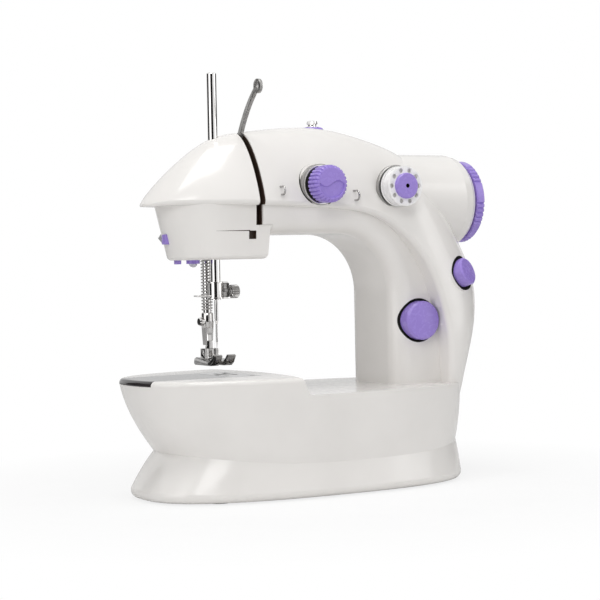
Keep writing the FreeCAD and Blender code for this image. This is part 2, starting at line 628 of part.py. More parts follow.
node("bed_bearings", group(shaft_bearings + [hook_bearing]))
node("rotary_hook", join(pinion + [turned([("0", "10 - hook_low_z"), ("2.5", "10 - hook_low_z"),
                                           ("2.5", "0"), ("hook_r", "0"),
                            ("hook_r", "hook_top_z - hook_low_z"), ("hook_r - 1", "hook_top_z - hook_low_z"),
                            ("hook_r - 1", "1"), ("0", "1")], ("hook_x", "0", "hook_low_z"))]))
node("bobbin_case", turned([("2.2", "0"), ("hook_r - 1.3", "0"), ("hook_r - 1.3",
                                                                  "hook_top_z - hook_low_z - 1.4"),
                            ("hook_r - 2.1", "hook_top_z - hook_low_z - 1.4"), ("hook_r - 2.1", "0.8"),
                            ("2.2", "0.8")],
                           ("hook_x", "0", "hook_low_z + 1.3")))


def bobbin(r, wide, at, axis):
    body = turned([("3", "0"), (r, "0"), (r, "1"), ("4.4", "1"), ("4.4", wide + " - 1"), (r, wide + " - 1"),
                   (r, wide), ("3", wide)], at, axis)
    return ring_of_cuts(body, 10, r + " - 2.1", "1.15", wide, wide)


node("hook_bobbin", bobbin("hook_bobbin_r", "bobbin_wide", ("hook_x", "0", "hook_low_z + 2.3"), "Z"))

# drive
node("motor", join([cylinder("motor_r", "motor_long", ("motor_x", "motor_y", "motor_z"), "X"),
                    cylinder("4.5", "1.6", ("motor_x + motor_long", "motor_y", "motor_z"), "X"),
                    cylinder("4.5", "1.6", ("motor_x - 1.6", "motor_y", "motor_z"), "X")]))
node("motor_cradle", cut(box(("20", "18", "motor_z - 8 - " + BASE_TOP), ("motor_x + 5", "motor_y - 9",
                                                                         BASE_TOP)),
                         [cylinder("motor_r", "60", ("motor_x - 10", "motor_y", "motor_z"), "X")]))
motor_shaft = cylinder("1.2", "11", ("motor_x + motor_long + 1.7", "motor_y", "motor_z"), "X")


def pulley(r, wide, bore, at):
    return turned([(bore, "0"), (r + " + 1.6", "0"), (r + " + 1.6", "1"), (r, "1"), (r, wide + " - 1"),
                   (r + " + 1.6", wide + " - 1"), (r + " + 1.6", wide), (bore, wide)], at, "X")


node("motor_pulley", join([motor_shaft, pulley("motor_pulley_r", "(belt_wide + 3)", "1.2",
                                               ("drive_x - 0.5", "motor_y", "motor_z"))]))
node("drive_pulley", pulley("drive_r", "(belt_wide + 3)", "shaft_r", ("drive_x - 0.5", "0", "low_shaft_z")))
node("timing_pulley_low", pulley("timing_r", "(belt_wide + 3)", "shaft_r", ("timing_x - 0.5", "0",
                                                                            "low_shaft_z")))
node("timing_pulley_top", pulley("timing_r", "(belt_wide + 3)", "shaft_r", ("timing_x - 0.5", "0",
                                                                            "shaft_z")))


def loop_face(c1, r1, c2, r2, x):
    """A filled belt outline round two circles in the YZ plane."""
    dy, dz = c2[0] - c1[0], c2[1] - c1[1]
    dist = math.hypot(dy, dz)
    lean = math.asin((r1 - r2) / dist)
    way = math.atan2(dz, dy)

    def spot(c, r, a):
        return Vector(x, c[0] + r * math.cos(a), c[1] + r * math.sin(a))

    a, b = way + math.pi / 2 - lean, way - math.pi / 2 + lean
    edges = [Part.makeLine(spot(c1, r1, a), spot(c2, r2, a)),
             Part.Arc(spot(c2, r2, a), spot(c2, r2, way), spot(c2, r2, b)).toShape(),
             Part.makeLine(spot(c2, r2, b), spot(c1, r1, b)),
             Part.Arc(spot(c1, r1, b), spot(c1, r1, way + math.pi), spot(c1, r1, a)).toShape()]
    return Part.Face(Part.Wire(edges))


def belt(c1, r1, c2, r2, x):
    play, thick, wide = 0.15, val("belt_thick"), val("belt_wide")
    outer = loop_face(c1, r1 + play + thick, c2, r2 + play + thick, x)
    inner = loop_face(c1, r1 + play, c2, r2 + play, x)
    return outer.cut(inner).extrude(Vector(wide, 0, 0))


made("timing_belt", belt((0, val("low_shaft_z")), val("timing_r"), (0, val("shaft_z")), val("timing_r"),
                         val("timing_x") + 1))
made("drive_belt", belt((0, val("low_shaft_z")), val("drive_r"), (val("motor_y"), val("motor_z")),
                        val("motor_pulley_r"), val("drive_x") + 1))

# main shaft
ARM_FLOOR = "(throat_top_z + wall)"
node("main_shaft", cylinder("shaft_r", "wheel_end_x - 3 - crank_x", ("crank_x", "0", "shaft_z"), "X"))
node("shaft_pedestal", join([
    cut(box(("6", "16", "lever_pivot_z + 5 - " + ARM_FLOOR), ("slot_x + 4.5", "-8", ARM_FLOOR)),
        [cylinder("shaft_r + fit", "20", ("slot_x", "0", "shaft_z"), "X")]),
    cylinder("stud_r", "13.5", ("slot_x - 3", "lever_pivot_y", "lever_pivot_z"), "X")]))
wheel_bush = (cut(cylinder("shaft_r + bush_wall", "8", ("boss_end_x - 7.5", "0", "shaft_z"), "X"),
                       [cylinder("shaft_r + fit", "20", ("boss_end_x - 12", "0", "shaft_z"), "X")]))
node("crank_disc", join([
    cut(cylinder("crank_disc_r", "crank_thick", ("crank_x", "0", "shaft_z"), "X"),
        [cylinder("shaft_r", "20", ("crank_x - 5", "0", "shaft_z"), "X")]),
    cylinder("crank_pin_r", "0.8 + crank_thick", ("crank_x - 0.8", "0", "shaft_z + crank_r"), "X")]))
wheel = turned([("shaft_r", "0"), ("hub_r", "0"), ("hub_r", "1.5"), ("wheel_r - 2.5", "1.5"),
                ("wheel_r", "2"),
                ("wheel_r", "wheel_end_x - boss_end_x - wheel_gap - 1"),
                ("wheel_r - 1", "wheel_end_x - boss_end_x - wheel_gap"),
                ("hub_r + 4", "wheel_end_x - boss_end_x - wheel_gap - 0.8"),
                ("0", "wheel_end_x - boss_end_x - wheel_gap - 0.8"),
                ("0", "wheel_end_x - boss_end_x - wheel_gap - 3"),
                ("shaft_r", "wheel_end_x - boss_end_x - wheel_gap - 3")],
               ("boss_end_x + wheel_gap", "0", "shaft_z"), "X")
node("handwheel", ring_of_cuts(wheel, 6, "wheel_r + 0.5", "grip_r * 0.8", "wheel_end_x - boss_end_x", "8",
                               each=5, step=7))


# head works
node("needle_bar", turned([("0", "needle_bar_low_z"), ("needle_bar_r", "needle_bar_low_z"),
                           ("needle_bar_r", "needle_bar_top_z - 0.6"), ("needle_bar_r - 0.6",
                                                                        "needle_bar_top_z"),
                           ("0", "needle_bar_top_z")], ("needle_x", "0", "0")))
node("bushes", group([wheel_bush] + [
    cut(cylinder("needle_bar_r + bush_wall", tall, ("needle_x", "0", low)),
        [cylinder("needle_bar_r + fit", "40", ("needle_x", "0", low + " - 10"))])
    for low, tall in (("slot_crest_z - 18", "12"), ("head_floor_z + 0.6", "8.4"))]))
yoke_z = "(shaft_z + crank_r)"
node("needle_yoke", cut(
    join([box(("8", "10", "8"), ("needle_x - 4", "-5", yoke_z + " - 4")),
          box(("1.8", "31", "8.4"), ("needle_x + 3.1", "-15.5", yoke_z + " - 4.2"))]),
    [cylinder("needle_bar_r", "40", ("needle_x", "0", yoke_z + " - 20")),
     box(("4", "27", "4.4"), ("needle_x + 2.9", "-13.5", yoke_z + " - 2.2"))]))
node("needle_clamp", cut(
    join([cylinder("4", "clamp_tall", ("needle_x", "0", "clamp_z")),
          box(("6.6", "6", "clamp_tall"), ("needle_x", "-3", "clamp_z")),
          cylinder("0.45", "8", ("needle_x - 3.4", "-1.6", "clamp_z + 1.6"), "-X"),
          cylinder("0.45", "4", ("needle_x - 11", "-1.6", "clamp_z + 1.6"), "Y")]),
    [cylinder("needle_bar_r", "20", ("needle_x", "0", "clamp_z - 5")),
     cylinder("1.3 + fit", "9", ("needle_x + 2.5", "0", "clamp_z + 3.4"), "X")]))
screw = turned([("0", "0"), ("1.3", "0"), ("1.3", "4.4"), ("2.4", "4.4"), ("2.4", "5"), ("3.4", "5.5"),
                ("3.4", "9"),
                ("2.8", "9.6"), ("0", "9.6")], ("needle_x + 2.7", "0", "clamp_z + 3.4"), "X")
node("clamp_screw", ring_of_cuts(screw, 20, "3.55", "0.3", "15", "9"))
node("needle", turned([("0", "needle_tip_z"), ("needle_r", "needle_tip_z + 4"), ("needle_r",
                                                                                 "needle_tip_z + 13"),
                       ("needle_r + 0.4", "needle_tip_z + 14.5"), ("needle_r + 0.4", "needle_bar_low_z"),
                       ("0", "needle_bar_low_z")], ("needle_x", "0", "0")))


def take_up_lever():
    """A bent blade from the stud up through the slot to its thread eye."""
    py, pz, ey, ez = val("lever_pivot_y"), val("lever_pivot_z"), val("eye_y"), val("eye_z")
    x0, half = val("slot_x") - val("lever_thick") / 2, val("lever_wide") / 2
    way = Vector(0, ey - py, ez - pz)
    side = Vector(0, -way.z, way.y)
    side.normalize()
    line = Part.BSplineCurve()
    line.interpolate([Vector(x0, py, pz), Vector(x0, py, pz) + way * 0.38 - side * 3.0,
                      Vector(x0, py, pz) + way * 0.78 - side * 2.6, Vector(x0, ey, ez)])
    edges = []
    ends = []
    for sign in (1, -1):
        spots = []
        for k in range(13):
            u = line.FirstParameter + (line.LastParameter - line.FirstParameter) * k / 12
            run = line.tangent(u)[0]
            spots.append(line.value(u) + Vector(0, -run.z, run.y) * half * sign * (1 - 0.25 * k / 12))
        curve = Part.BSplineCurve()
        curve.interpolate(spots)
        edges.append(curve.toShape())
        ends.append((spots[0], spots[-1]))
    loop = Part.Wire(Part.__sortEdges__(edges + [Part.makeLine(ends[0][0], ends[1][0]),
                                                 Part.makeLine(ends[0][1], ends[1][1])]))
    thick = val("lever_thick")
    blade = Part.Face(loop).extrude(Vector(thick, 0, 0))
    if blade.Volume < 0:
        blade.reverse()
    blade = blade.fuse([rod(4.5, thick, (x0, py, pz), (1, 0, 0)), rod(val("eye_r"), thick, (x0, ey, ez),
                                                                      (1, 0, 0))])
    return blade.cut([rod(val("stud_r") + 0.05, 6, (x0 - 2, py, pz), (1, 0, 0)),
                      rod(val("eye_hole_r"), 6, (x0 - 2, ey, ez), (1, 0, 0))])


made("take_up_lever", take_up_lever())

# presser
px, py = "needle_x", "presser_y"
node("presser_guide", cut(box(("7.7", "7.3", "5.3"), ("needle_x - 5", "presser_y - 3.8",
                                                      "head_floor_z + wall")),
                          [cylinder("presser_r + fit", "40", (px, py, "head_floor_z - 10")),
                           cylinder("spring_r + 1.2", "12", (px, py, "head_floor_z - 8"))]))
node("presser_bar", join([cylinder("presser_r", "presser_top_z - presser_low_z", (px, py, "presser_low_z")),
                          box(("6.5", "12", "5"), ("needle_x - 4", "presser_y - 3.7", "lifter_z + 6"))]))
finger = slab([("-9.5", "3"), ("-2", "-3.6"), ("3.6", "-2"), ("3.6", "3"), ("0", "5.2"), ("-9.5", "5.2")],
              "3.4",
              ("lifter_x", "presser_y + 8", "lifter_z"), "Z", "XZ_Plane")
handle = slab([("3.4", "-3.4"), ("3.4", "3.4"), ("-6", "4.6"), ("-27", "7.6"), ("-29", "5"), ("-27", "2.6"),
               ("-6", "-2.6")], "3.4", ("lifter_x", "presser_y + 16", "lifter_z"), "Z", "XZ_Plane")
node("presser_lifter", join([finger, handle, cylinder("lifter_pin_r", "10", ("lifter_x", "presser_y + 5",
                                                                             "lifter_z"),
                                                       "Y")]))


def spring():
    """One unbroken tube of biarcs, a half turn each, with straight ends."""
    r, wire, pitch = val("spring_r"), val("spring_wire_r"), val("spring_pitch")
    low, top = val("spring_low_z"), val("head_floor_z") + 3.6
    turns = int((top - low - 2 * wire) / pitch)
    cx, cy, z0 = val("needle_x"), val("presser_y"), low + wire
    rise = pitch / (2 * math.pi)

    def state(a):
        spot = Vector(cx + r * math.cos(a), cy + r * math.sin(a), z0 + rise * a)
        run = Vector(-r * math.sin(a), r * math.cos(a), rise)
        run.normalize()
        return spot, run

    def arc(p, q, j):
        mid = (p + j) * 0.5
        half = (j - p).Length / 2
        lean = math.acos(min(1.0, half / (q - p).Length))
        bulge = q - mid
        bulge.normalize()
        return Part.Arc(p, mid + bulge * half * math.tan(lean / 2), j).toShape()

    edges = []
    start, run = state(0)
    edges.append(Part.makeLine(start - run * 2 * wire, start))
    for k in range(2 * turns):
        p0, t0 = state(math.pi * k)
        p1, t1 = state(math.pi * (k + 1))
        v = p1 - p0
        t = t0 + t1
        c = 2 * (1 - t0.dot(t1))
        d = (-v.dot(t) + math.sqrt(v.dot(t) ** 2 + c * v.dot(v))) / c
        q0 = p0 + t0 * d
        q1 = p1 - t1 * d
        j = (q0 + q1) * 0.5
        edges.append(arc(p0, q0, j))
        edges.append(arc(j, q1, p1))
    last, run2 = state(2 * math.pi * turns)
    edges.append(Part.makeLine(last, last + run2 * 2 * wire))
    path = Part.Wire(edges)
    ring = Part.Wire([Part.Circle(start - run * 2 * wire, run, wire).toShape()])
    tube = path.makePipeShell([ring], True, False)
    spots = []
    for e in edges:
        for k in range(12):
            u = e.FirstParameter + (e.LastParameter - e.FirstParameter) * k / 12
            spots.append(e.valueAt(u))
    least = min((a - b).Length for i, a in enumerate(spots) for b in spots[i + 30:i + 70])
    print("spring turns %d, least gap to itself %.2f mm" % (turns, least - 2 * wire))
    return tube


made("presser_spring", spring())
ankle = box(("3.2", "5", "8"), ("needle_x - 1.6", "presser_y - 4.5", "foot_pin_z - 2.4"))
node("foot_shank", join([cylinder("foot_pin_r", "8", ("needle_x - 4", "foot_pin_y", "foot_pin_z"), "X"), cut(
    join([box(("4.8", "5.2", "presser_low_z + 8 - foot_pin_z - 5"), ("needle_x - 2.4", "presser_y - 2.6",
                                                                     "foot_pin_z + 5")),
          ankle]),
    [cylinder("presser_r", "30", (px, py, "presser_low_z"))])]))
node("foot_screw", turned([("0", "0"), ("2.2", "0"), ("2.2", "1.8"), ("1.7", "2.5"), ("0", "2.5")],
                          ("needle_x - 2.4", "presser_y", "presser_low_z + 3.5"), "-X"))
sole = slab([("13", "foot_z"), ("14", "foot_z + 0.8"), ("13.6", "foot_z + 3"), ("11.5", "foot_z + 3.8"),
             ("3", "foot_z + 3"), ("-3", "foot_z + foot_thick"), ("-5.4", "foot_z + 3.4"),
             ("-7.6", "foot_z + 5.6"),
             ("-8.8", "foot_z + 5"), ("-6.6", "foot_z + 1.6"), ("-4", "foot_z")],
            "2 * foot_half", ("needle_x - foot_half", "0", "0"), "Z", "YZ_Plane")
lug = "foot_pin_z + 2 - foot_z - foot_thick"
node("presser_foot", cut(
    join([sole, box(("2", "5", lug), ("needle_x - 4", "presser_y - 4.5", "foot_z + foot_thick")),
          box(("2", "5", lug), ("needle_x + 2", "presser_y - 4.5", "foot_z + foot_thick"))]),
    [box(("3", "23", "12"), ("needle_x - 1.5", "-20", "foot_z - 2")),
     cylinder("foot_pin_r + fit", "20", ("needle_x - 10", "foot_pin_y", "foot_pin_z"), "X")]))

# thread path and controls
node("tension_discs", join([
    cylinder("2", "23", ("dial_x", "-13", "dial_z"), "-Y"),
    cylinder("5", "3", ("dial_x", "-13", "dial_z"), "-Y"),
    turned([("2", "0"), ("dial_r + 0.3", "0"), ("dial_r + 0.3", "0.9"), ("2", "0.9")], ("dial_x", "-27",
                                                                                        "dial_z"), "-Y"),
    turned([("2", "0"), ("5", "0"), ("7.6", "0.6"), ("7.6", "1"), ("5", "0.6"), ("2", "0.6")],
           ("dial_x", "-27.9", "dial_z"), "-Y"),
    turned([("2", "0"), ("4.6", "0"), ("4.6", "0.9"), ("2", "0.9")], ("dial_x", "-28.5", "dial_z"), "-Y")]))
dial = turned([("2.05", "0"), ("dial_r - 0.6", "0"), ("dial_r", "0.6"), ("dial_r", "dial_thick - 1.2"),
               ("dial_r - 1.2", "dial_thick"), ("0", "dial_thick"), ("0", "dial_thick - 1.5"),
               ("2.05", "dial_thick - 1.5")], ("dial_x", "dial_front_y + dial_thick", "dial_z"), "-Y")
dial = ring_of_cuts(dial, 28, "dial_r + 0.25", "0.7", "dial_thick - 1.4", "dial_thick")
node("tension_dial", wave_step(dial, "dial_r - 1.3", "1.2", "dial_thick", "0.7"))
node("winder_spindle", join([cylinder("2.8", "winder_front_y * -1 - 13", ("winder_x", "-13", "winder_z"),
                                      "-Y"),
                             cylinder("6", "2.6", ("winder_x", "-13", "winder_z"), "-Y"),
                             turned([("1.1", "0"), ("cap_r", "0"), ("cap_r", "1.6"), ("cap_r - 0.5", "2.1"),
                                     ("1.1", "2.1")], ("winder_x", "winder_front_y", "winder_z"), "-Y")]))
node("winder_bobbin", bobbin("bobbin_r", "(winder_front_y * -1 - 28.6)", ("winder_x", "-28.6", "winder_z"),
                             "-Y"))
node("speed_button", turned([("0", "0"), ("speed_r", "0"), ("speed_r", "speed_out + 2"), ("speed_r - 1",
                                                                                          "speed_out + 3"),
                             ("0", "speed_out + 3.4")], ("speed_x", "3 - core_half", "speed_z"), "-Y"))
speed_switch = box(("20", "6", "26"), ("speed_x - 10", "-core_half + 6.5", "speed_z - 13"))


def staple(x, z, wide, out):
    """A wire eye: two legs in the wall and half a ring between them."""
    ring = doc.addObject("Part::Torus", "eye")
    bind(ring, "Radius1", wide)
    bind(ring, "Radius2", "staple_wire_r")
    ring.Angle3 = 180
    put(ring, (x, out, z), "eye")
    legs = [cylinder("staple_wire_r", "-17 - " + out, (x, "-17", "%s %s %s" % (z, sign, wide)), "-Y")
            for sign in ("+", "-")]
    return join([ring] + legs)


def along(way, spot, profile):
    """A turned form whose axis points along a given direction."""
    solid = Part.Face(Part.makePolygon([Vector(r, 0, z) for r, z in profile + profile[:1]]))
    solid = solid.revolve(Vector(), Vector(0, 0, 1), 360)
    solid.Placement = Placement(spot, Rotation(Vector(0, 0, 1), way))
    return Part.Solid(solid.Shells[0]) if solid.ShapeType != "Solid" else solid


shoulder = Vector(val("power_x"), val("power_y"), val("power_z"))
r, out = val("power_r"), val("power_out")
made("power_button", along(power_way(), shoulder, [(0, -6), (r, -6), (r, out - 0.8), (r - 0.8, out),
                                                   (0, out + 0.4)]))
power_switch = doc.addObject("Part::Feature", "power_switch")
power_switch.Shape = along(power_way(), shoulder, [(0, -16), (r + 2.6, -16), (r + 2.6, -10), (0, -10)])
node("switches", group([speed_switch, power_switch]))
node("spool_base", cut(turned([("0", "-10"), ("spool_base_r", "-10"), ("spool_base_r", "0"),
                               ("spool_base_r - 1", "0.6"),
                               ("0", "0.6")], ("spool_x", "spool_y", "crest_z - 1.6")),
                       [cylinder("spool_rod_r + fit", "40", ("spool_x", "spool_y", "crest_z - 30"))]))
node("spool_pin", turned([("0", "-46"), ("spool_rod_r", "-46"), ("spool_rod_r", "1"), ("3.6", "1.4"),
                          ("3.6", "2.4"),
                          ("2.2", "2.9"), ("2.2", "3.6"), ("3", "4.2"), ("2.6", "5.4"), ("0", "6")],
                         ("spool_x", "spool_y", "crest_z - 1")))
node("thread_guides", group([
    staple("guide_x", "guide_z", "staple_r", "staple_y"),
    staple("guide2_x", "guide2_z", "staple2_r", "staple2_y")]))
node("thread_cutter", box(("6.1", "4.5", "5"), ("-79.1", "-1.5", "125.5")))
node("lamp_switch", box(("3", "2.6", "6.6"), ("-72", "1.5", "head_floor_z - 1.9")))
node("lamp_holder", cut(cylinder("lamp_holder_r", "5", ("-62.5", "lamp_y", "head_floor_z - 1.8")),
                        [cylinder("lamp_r", "20", ("-62.5", "lamp_y", "head_floor_z - 8"))]))
node("lamp_led", join([cylinder("lamp_r", "4.6", ("-62.5", "lamp_y", "head_floor_z - 1.4")),
                       ball("lamp_r", ("-62.5", "lamp_y", "head_floor_z - 1.4"))]))
node("screws", group(plate_screws + [
    cylinder("2.5", "1.3", (str(x), "core_half - 1.5", str(h)), "Y") for x, h in REAR_SCREWS]))
node("jacks", group([cut(cylinder(str(r), "10", (str(x), "core_half - 10", "jack_z"), "Y"),
                         [cylinder(str(r) + " - 1.4", "12", (str(x), "core_half - 8.5", "jack_z"), "Y")])
                     for x, r in REAR_JACKS]))

doc.recompute()
for obj in NODES:
    if obj.Shape.isNull() or not obj.Shape.isValid() or "Invalid" in obj.State or "Error" in obj.State:
        raise RuntimeError("bad node " + obj.Label)
os.makedirs("parts", exist_ok=True)
for obj in NODES:
    obj.Shape.exportStep("parts/" + obj.Label + ".step")
print(len(NODES), "nodes")
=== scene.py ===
# %% [markdown]
# # A small sewing machine
# The solid model gives every piece its place and size. This lesson loads it as a fixed
# frame, gives each piece a finish made of nodes, and adds the pieces that need finer work.
# All of it could be modelled here from nothing, but the frame already holds every fit and
# joint, so the lesson only makes what the eye still misses.

# %% Load the frame
import json
import math

import bmesh
import bpy
from mathutils import Matrix, Vector
from mathutils.geometry import interpolate_bezier


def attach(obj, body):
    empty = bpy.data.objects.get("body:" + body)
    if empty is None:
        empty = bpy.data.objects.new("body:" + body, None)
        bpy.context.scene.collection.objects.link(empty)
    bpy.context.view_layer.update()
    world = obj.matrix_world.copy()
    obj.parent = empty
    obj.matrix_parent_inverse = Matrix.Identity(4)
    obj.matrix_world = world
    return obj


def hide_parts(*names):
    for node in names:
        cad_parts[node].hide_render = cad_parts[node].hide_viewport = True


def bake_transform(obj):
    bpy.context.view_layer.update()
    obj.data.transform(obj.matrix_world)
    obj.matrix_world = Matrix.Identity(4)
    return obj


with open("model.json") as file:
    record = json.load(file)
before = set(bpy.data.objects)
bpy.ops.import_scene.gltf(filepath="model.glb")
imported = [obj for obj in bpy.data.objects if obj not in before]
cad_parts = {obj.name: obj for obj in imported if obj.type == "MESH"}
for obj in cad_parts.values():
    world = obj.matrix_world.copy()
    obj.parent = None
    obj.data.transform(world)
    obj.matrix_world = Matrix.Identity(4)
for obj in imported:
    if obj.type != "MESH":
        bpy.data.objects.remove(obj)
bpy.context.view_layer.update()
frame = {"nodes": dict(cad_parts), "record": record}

MM = 0.001
nodes = frame["nodes"]

# %% [markdown]
# ## How a finish is put together
# A moulded or polished surface is never one even colour. A picture could be painted for each
# piece, but a pattern made of nodes fits every shape and needs no unwrapping. Each finish
# starts from a Principled shader. A noise in Object coordinates then shifts the colour a
# little, varies the roughness, and lifts a very fine bump. Object coordinates stay with the
# piece when it moves, so the pattern never slides.

# %% Start of a finish and its grain
def start_finish(name):
    finish = bpy.data.materials.new(name)
    finish.use_nodes = True
    return finish, finish.node_tree, finish.node_tree.nodes["Principled BSDF"]


def grain(tree, scale, detail=4.0, stretch=(1, 1, 1)):
    place = tree.nodes.new("ShaderNodeTexCoord")
    mapping = tree.nodes.new("ShaderNodeMapping")
    mapping.inputs["Scale"].default_value = stretch
    noise = tree.nodes.new("ShaderNodeTexNoise")
    noise.inputs["Scale"].default_value = scale
    noise.inputs["Detail"].default_value = detail
    tree.links.new(place.outputs["Object"], mapping.inputs["Vector"])
    tree.links.new(mapping.outputs["Vector"], noise.inputs["Vector"])
    return noise.outputs["Fac"]


# %% Tint, sheen and bump
TINT_SPREAD = (0.35, 0.65)
SHEEN_SPREAD = (0.3, 0.7)


def tint(tree, shader, pattern, dark, light):
    ramp = tree.nodes.new("ShaderNodeValToRGB")
    for stop, position, colour in zip(ramp.color_ramp.elements, TINT_SPREAD, (dark, light)):
        stop.position = position
        stop.color = (*colour, 1)
    tree.links.new(pattern, ramp.inputs["Fac"])
    tree.links.new(ramp.outputs["Color"], shader.inputs["Base Color"])


def spread_out(tree, value, from_min, from_max, to_min, to_max):
    spread = tree.nodes.new("ShaderNodeMapRange")
    spread.inputs["From Min"].default_value = from_min
    spread.inputs["From Max"].default_value = from_max
    spread.inputs["To Min"].default_value = to_min
    spread.inputs["To Max"].default_value = to_max
    tree.links.new(value, spread.inputs["Value"])
    return spread.outputs["Result"]


def sheen_range(tree, shader, pattern, smooth, rough):
    sheen = spread_out(tree, pattern, *SHEEN_SPREAD, smooth, rough)
    tree.links.new(sheen, shader.inputs["Roughness"])


def skin_bump(tree, shader, pattern, strength, height):
    bump = tree.nodes.new("ShaderNodeBump")
    bump.inputs["Strength"].default_value = strength
    bump.inputs["Distance"].default_value = height
    tree.links.new(pattern, bump.inputs["Height"])
    tree.links.new(bump.outputs["Normal"], shader.inputs["Normal"])


# %% [markdown]
# ## Moulded plastics
# The housing is glossy white plastic with a warm cast, the controls are lavender, and the
# bobbin is a cleaner white nylon. One even colour would look like paint on a screen. They all
# come from a polished mould, so one helper gives each a faint, broad bump, like the slight
# waviness of a real moulding, with finer specks in the gloss.

# %% Plastics
COLOUR_GRAIN, GLOSS_GRAIN, WAVE_GRAIN = 26, 420, 60
WAVE_HEIGHT = 0.2 * MM


def moulded(name, dark, light, smooth, rough, gloss=0.5, wave=0.12):
    finish, tree, shader = start_finish(name)
    tint(tree, shader, grain(tree, COLOUR_GRAIN, 3), dark, light)
    sheen_range(tree, shader, grain(tree, GLOSS_GRAIN, 5), smooth, rough)
    skin_bump(tree, shader, grain(tree, WAVE_GRAIN, 2), wave, WAVE_HEIGHT)
    shader.inputs["Specular IOR Level"].default_value = gloss
    return finish


white = moulded("white_moulding", dark=(0.80, 0.778, 0.752), light=(0.84, 0.818, 0.792),
                smooth=0.13, rough=0.20, wave=0.05)
lavender = moulded("lavender_moulding", dark=(0.315, 0.222, 0.648), light=(0.332, 0.235, 0.668),
                   smooth=0.25, rough=0.29, wave=0.03)
bright = moulded("bright_nylon", dark=(0.885, 0.875, 0.870), light=(0.91, 0.90, 0.895),
                 smooth=0.22, rough=0.32, wave=0.03)
grey = moulded("grey_nylon", dark=(0.36, 0.36, 0.37), light=(0.44, 0.44, 0.45),
               smooth=0.45, rough=0.6)
# Pale grey nylon for the disc behind the winder's holes; its grey is painted shade in the holes.
pale_shade = moulded("pale_nylon_shade", dark=(0.64, 0.63, 0.61), light=(0.70, 0.69, 0.67),
               smooth=0.40, rough=0.55)
smoke = moulded("smoky_moulding", dark=(0.022, 0.019, 0.020), light=(0.035, 0.030, 0.031),
                smooth=0.06, rough=0.12, wave=0.02)
# Dark brown for the take-up slot's plates, also painted shade in the head notch and painted shadow
# under the nose cover's edge.
brown_and_shade = moulded("brown_lining_and_shade", dark=(0.022, 0.012, 0.008), light=(0.050, 0.028, 0.018),
                smooth=0.4, rough=0.6)
# Near-black that paints the shade in gaps and holes round the buttons, the dial and the winder.
black_shade = moulded("painted_black_shade", dark=(0.004, 0.004, 0.004), light=(0.010, 0.009, 0.009),
               smooth=0.75, rough=0.95, gloss=0.15, wave=0.3)
print("plastics:", [p.name for p in (white, lavender, bright, grey, pale_shade, smoke, brown_and_shade, black_shade)])

# %% [markdown]
# ## Metals
# Bright plating is nearly a mirror with hairline wear, and ground steel is rougher. The lines
# could be drawn as a bump alone, but wear changes the tint and the gloss too, so streaked
# noises drive all three. A Mapping node stretches them the way each piece is polished. Small
# stamped parts are nickel, duller and darker, and the take-up lever is a satin grey.

# %% Plating, nickel, steel and brass
LINE_GRAIN, POLISH_GRAIN = 900, 500
LINE_HEIGHT = 0.03 * MM
ALONG_Z, ALONG_X, EVEN = (1, 1, 0.06), (0.06, 1, 1), (1, 1, 1)


def metal(name, dark, light, smooth, rough, streak, depth):
    finish, tree, shader = start_finish(name)
    lines = grain(tree, LINE_GRAIN, 3, streak)
    tint(tree, shader, lines, dark, light)
    sheen_range(tree, shader, grain(tree, POLISH_GRAIN, 4, streak), smooth, rough)
    skin_bump(tree, shader, lines, depth, LINE_HEIGHT)
    shader.inputs["Metallic"].default_value = 1.0
    return finish


chrome = metal("bright_plating", dark=(0.76, 0.75, 0.74), light=(0.86, 0.85, 0.84),
               smooth=0.02, rough=0.06, streak=ALONG_Z, depth=0.02)
nickel = metal("worn_nickel", dark=(0.32, 0.314, 0.308), light=(0.46, 0.452, 0.444),
               smooth=0.08, rough=0.16, streak=ALONG_X, depth=0.05)
casting = metal("plated_casting", dark=(0.50, 0.49, 0.48), light=(0.62, 0.61, 0.60),
                smooth=0.05, rough=0.11, streak=ALONG_Z, depth=0.04)
satin = metal("satin_steel", dark=(0.30, 0.295, 0.285), light=(0.40, 0.392, 0.38),
              smooth=0.30, rough=0.42, streak=ALONG_Z, depth=0.10)
steel = metal("ground_steel", dark=(0.46, 0.455, 0.45), light=(0.58, 0.575, 0.57),
              smooth=0.20, rough=0.32, streak=ALONG_X, depth=0.12)
brass = metal("sintered_brass", dark=(0.50, 0.36, 0.15), light=(0.62, 0.46, 0.20),
              smooth=0.3, rough=0.45, streak=EVEN, depth=0.3)
print("metals:", [m.name for m in (chrome, nickel, casting, satin, steel, brass)])

# %% [markdown]
# ## Rubber and the lamp lens
# The feet are rubber, dark and dull with a clear grain. The lamp is a small clear dome. It
# could be pure glass, but a real one is a little milky, so it takes some transmission and a
# sharp gloss over a faint mottle.

# %% Rubber and lens
# The same black rubber also paints the shade in the screw recesses.
rubber_and_shade, tree, shader = start_finish("black_rubber")
tint(tree, shader, grain(tree, scale=200), dark=(0.012, 0.012, 0.012), light=(0.030, 0.030, 0.031))
sheen_range(tree, shader, grain(tree, scale=700), smooth=0.6, rough=0.85)
skin_bump(tree, shader, grain(tree, scale=1600), strength=0.4, height=0.1 * MM)

lens, tree, shader = start_finish("lamp_lens")
tint(tree, shader, grain(tree, scale=300), dark=(0.86, 0.86, 0.91), light=(0.94, 0.94, 0.97))
sheen_range(tree, shader, grain(tree, scale=900), smooth=0.05, rough=0.12)
shader.inputs["Transmission Weight"].default_value = 0.25
shader.inputs["IOR"].default_value = 1.45
print("made", rubber_and_shade.name, "and", lens.name)

# %% [markdown]
# ## Dressing the frame
# The record names a material slot for every piece of the frame. Each piece could be dressed
# by hand, but a table from slot to finish is shorter and leaves none out. The thread guides
# and the needle plate share their slots with brighter parts, so they get nickel by name.

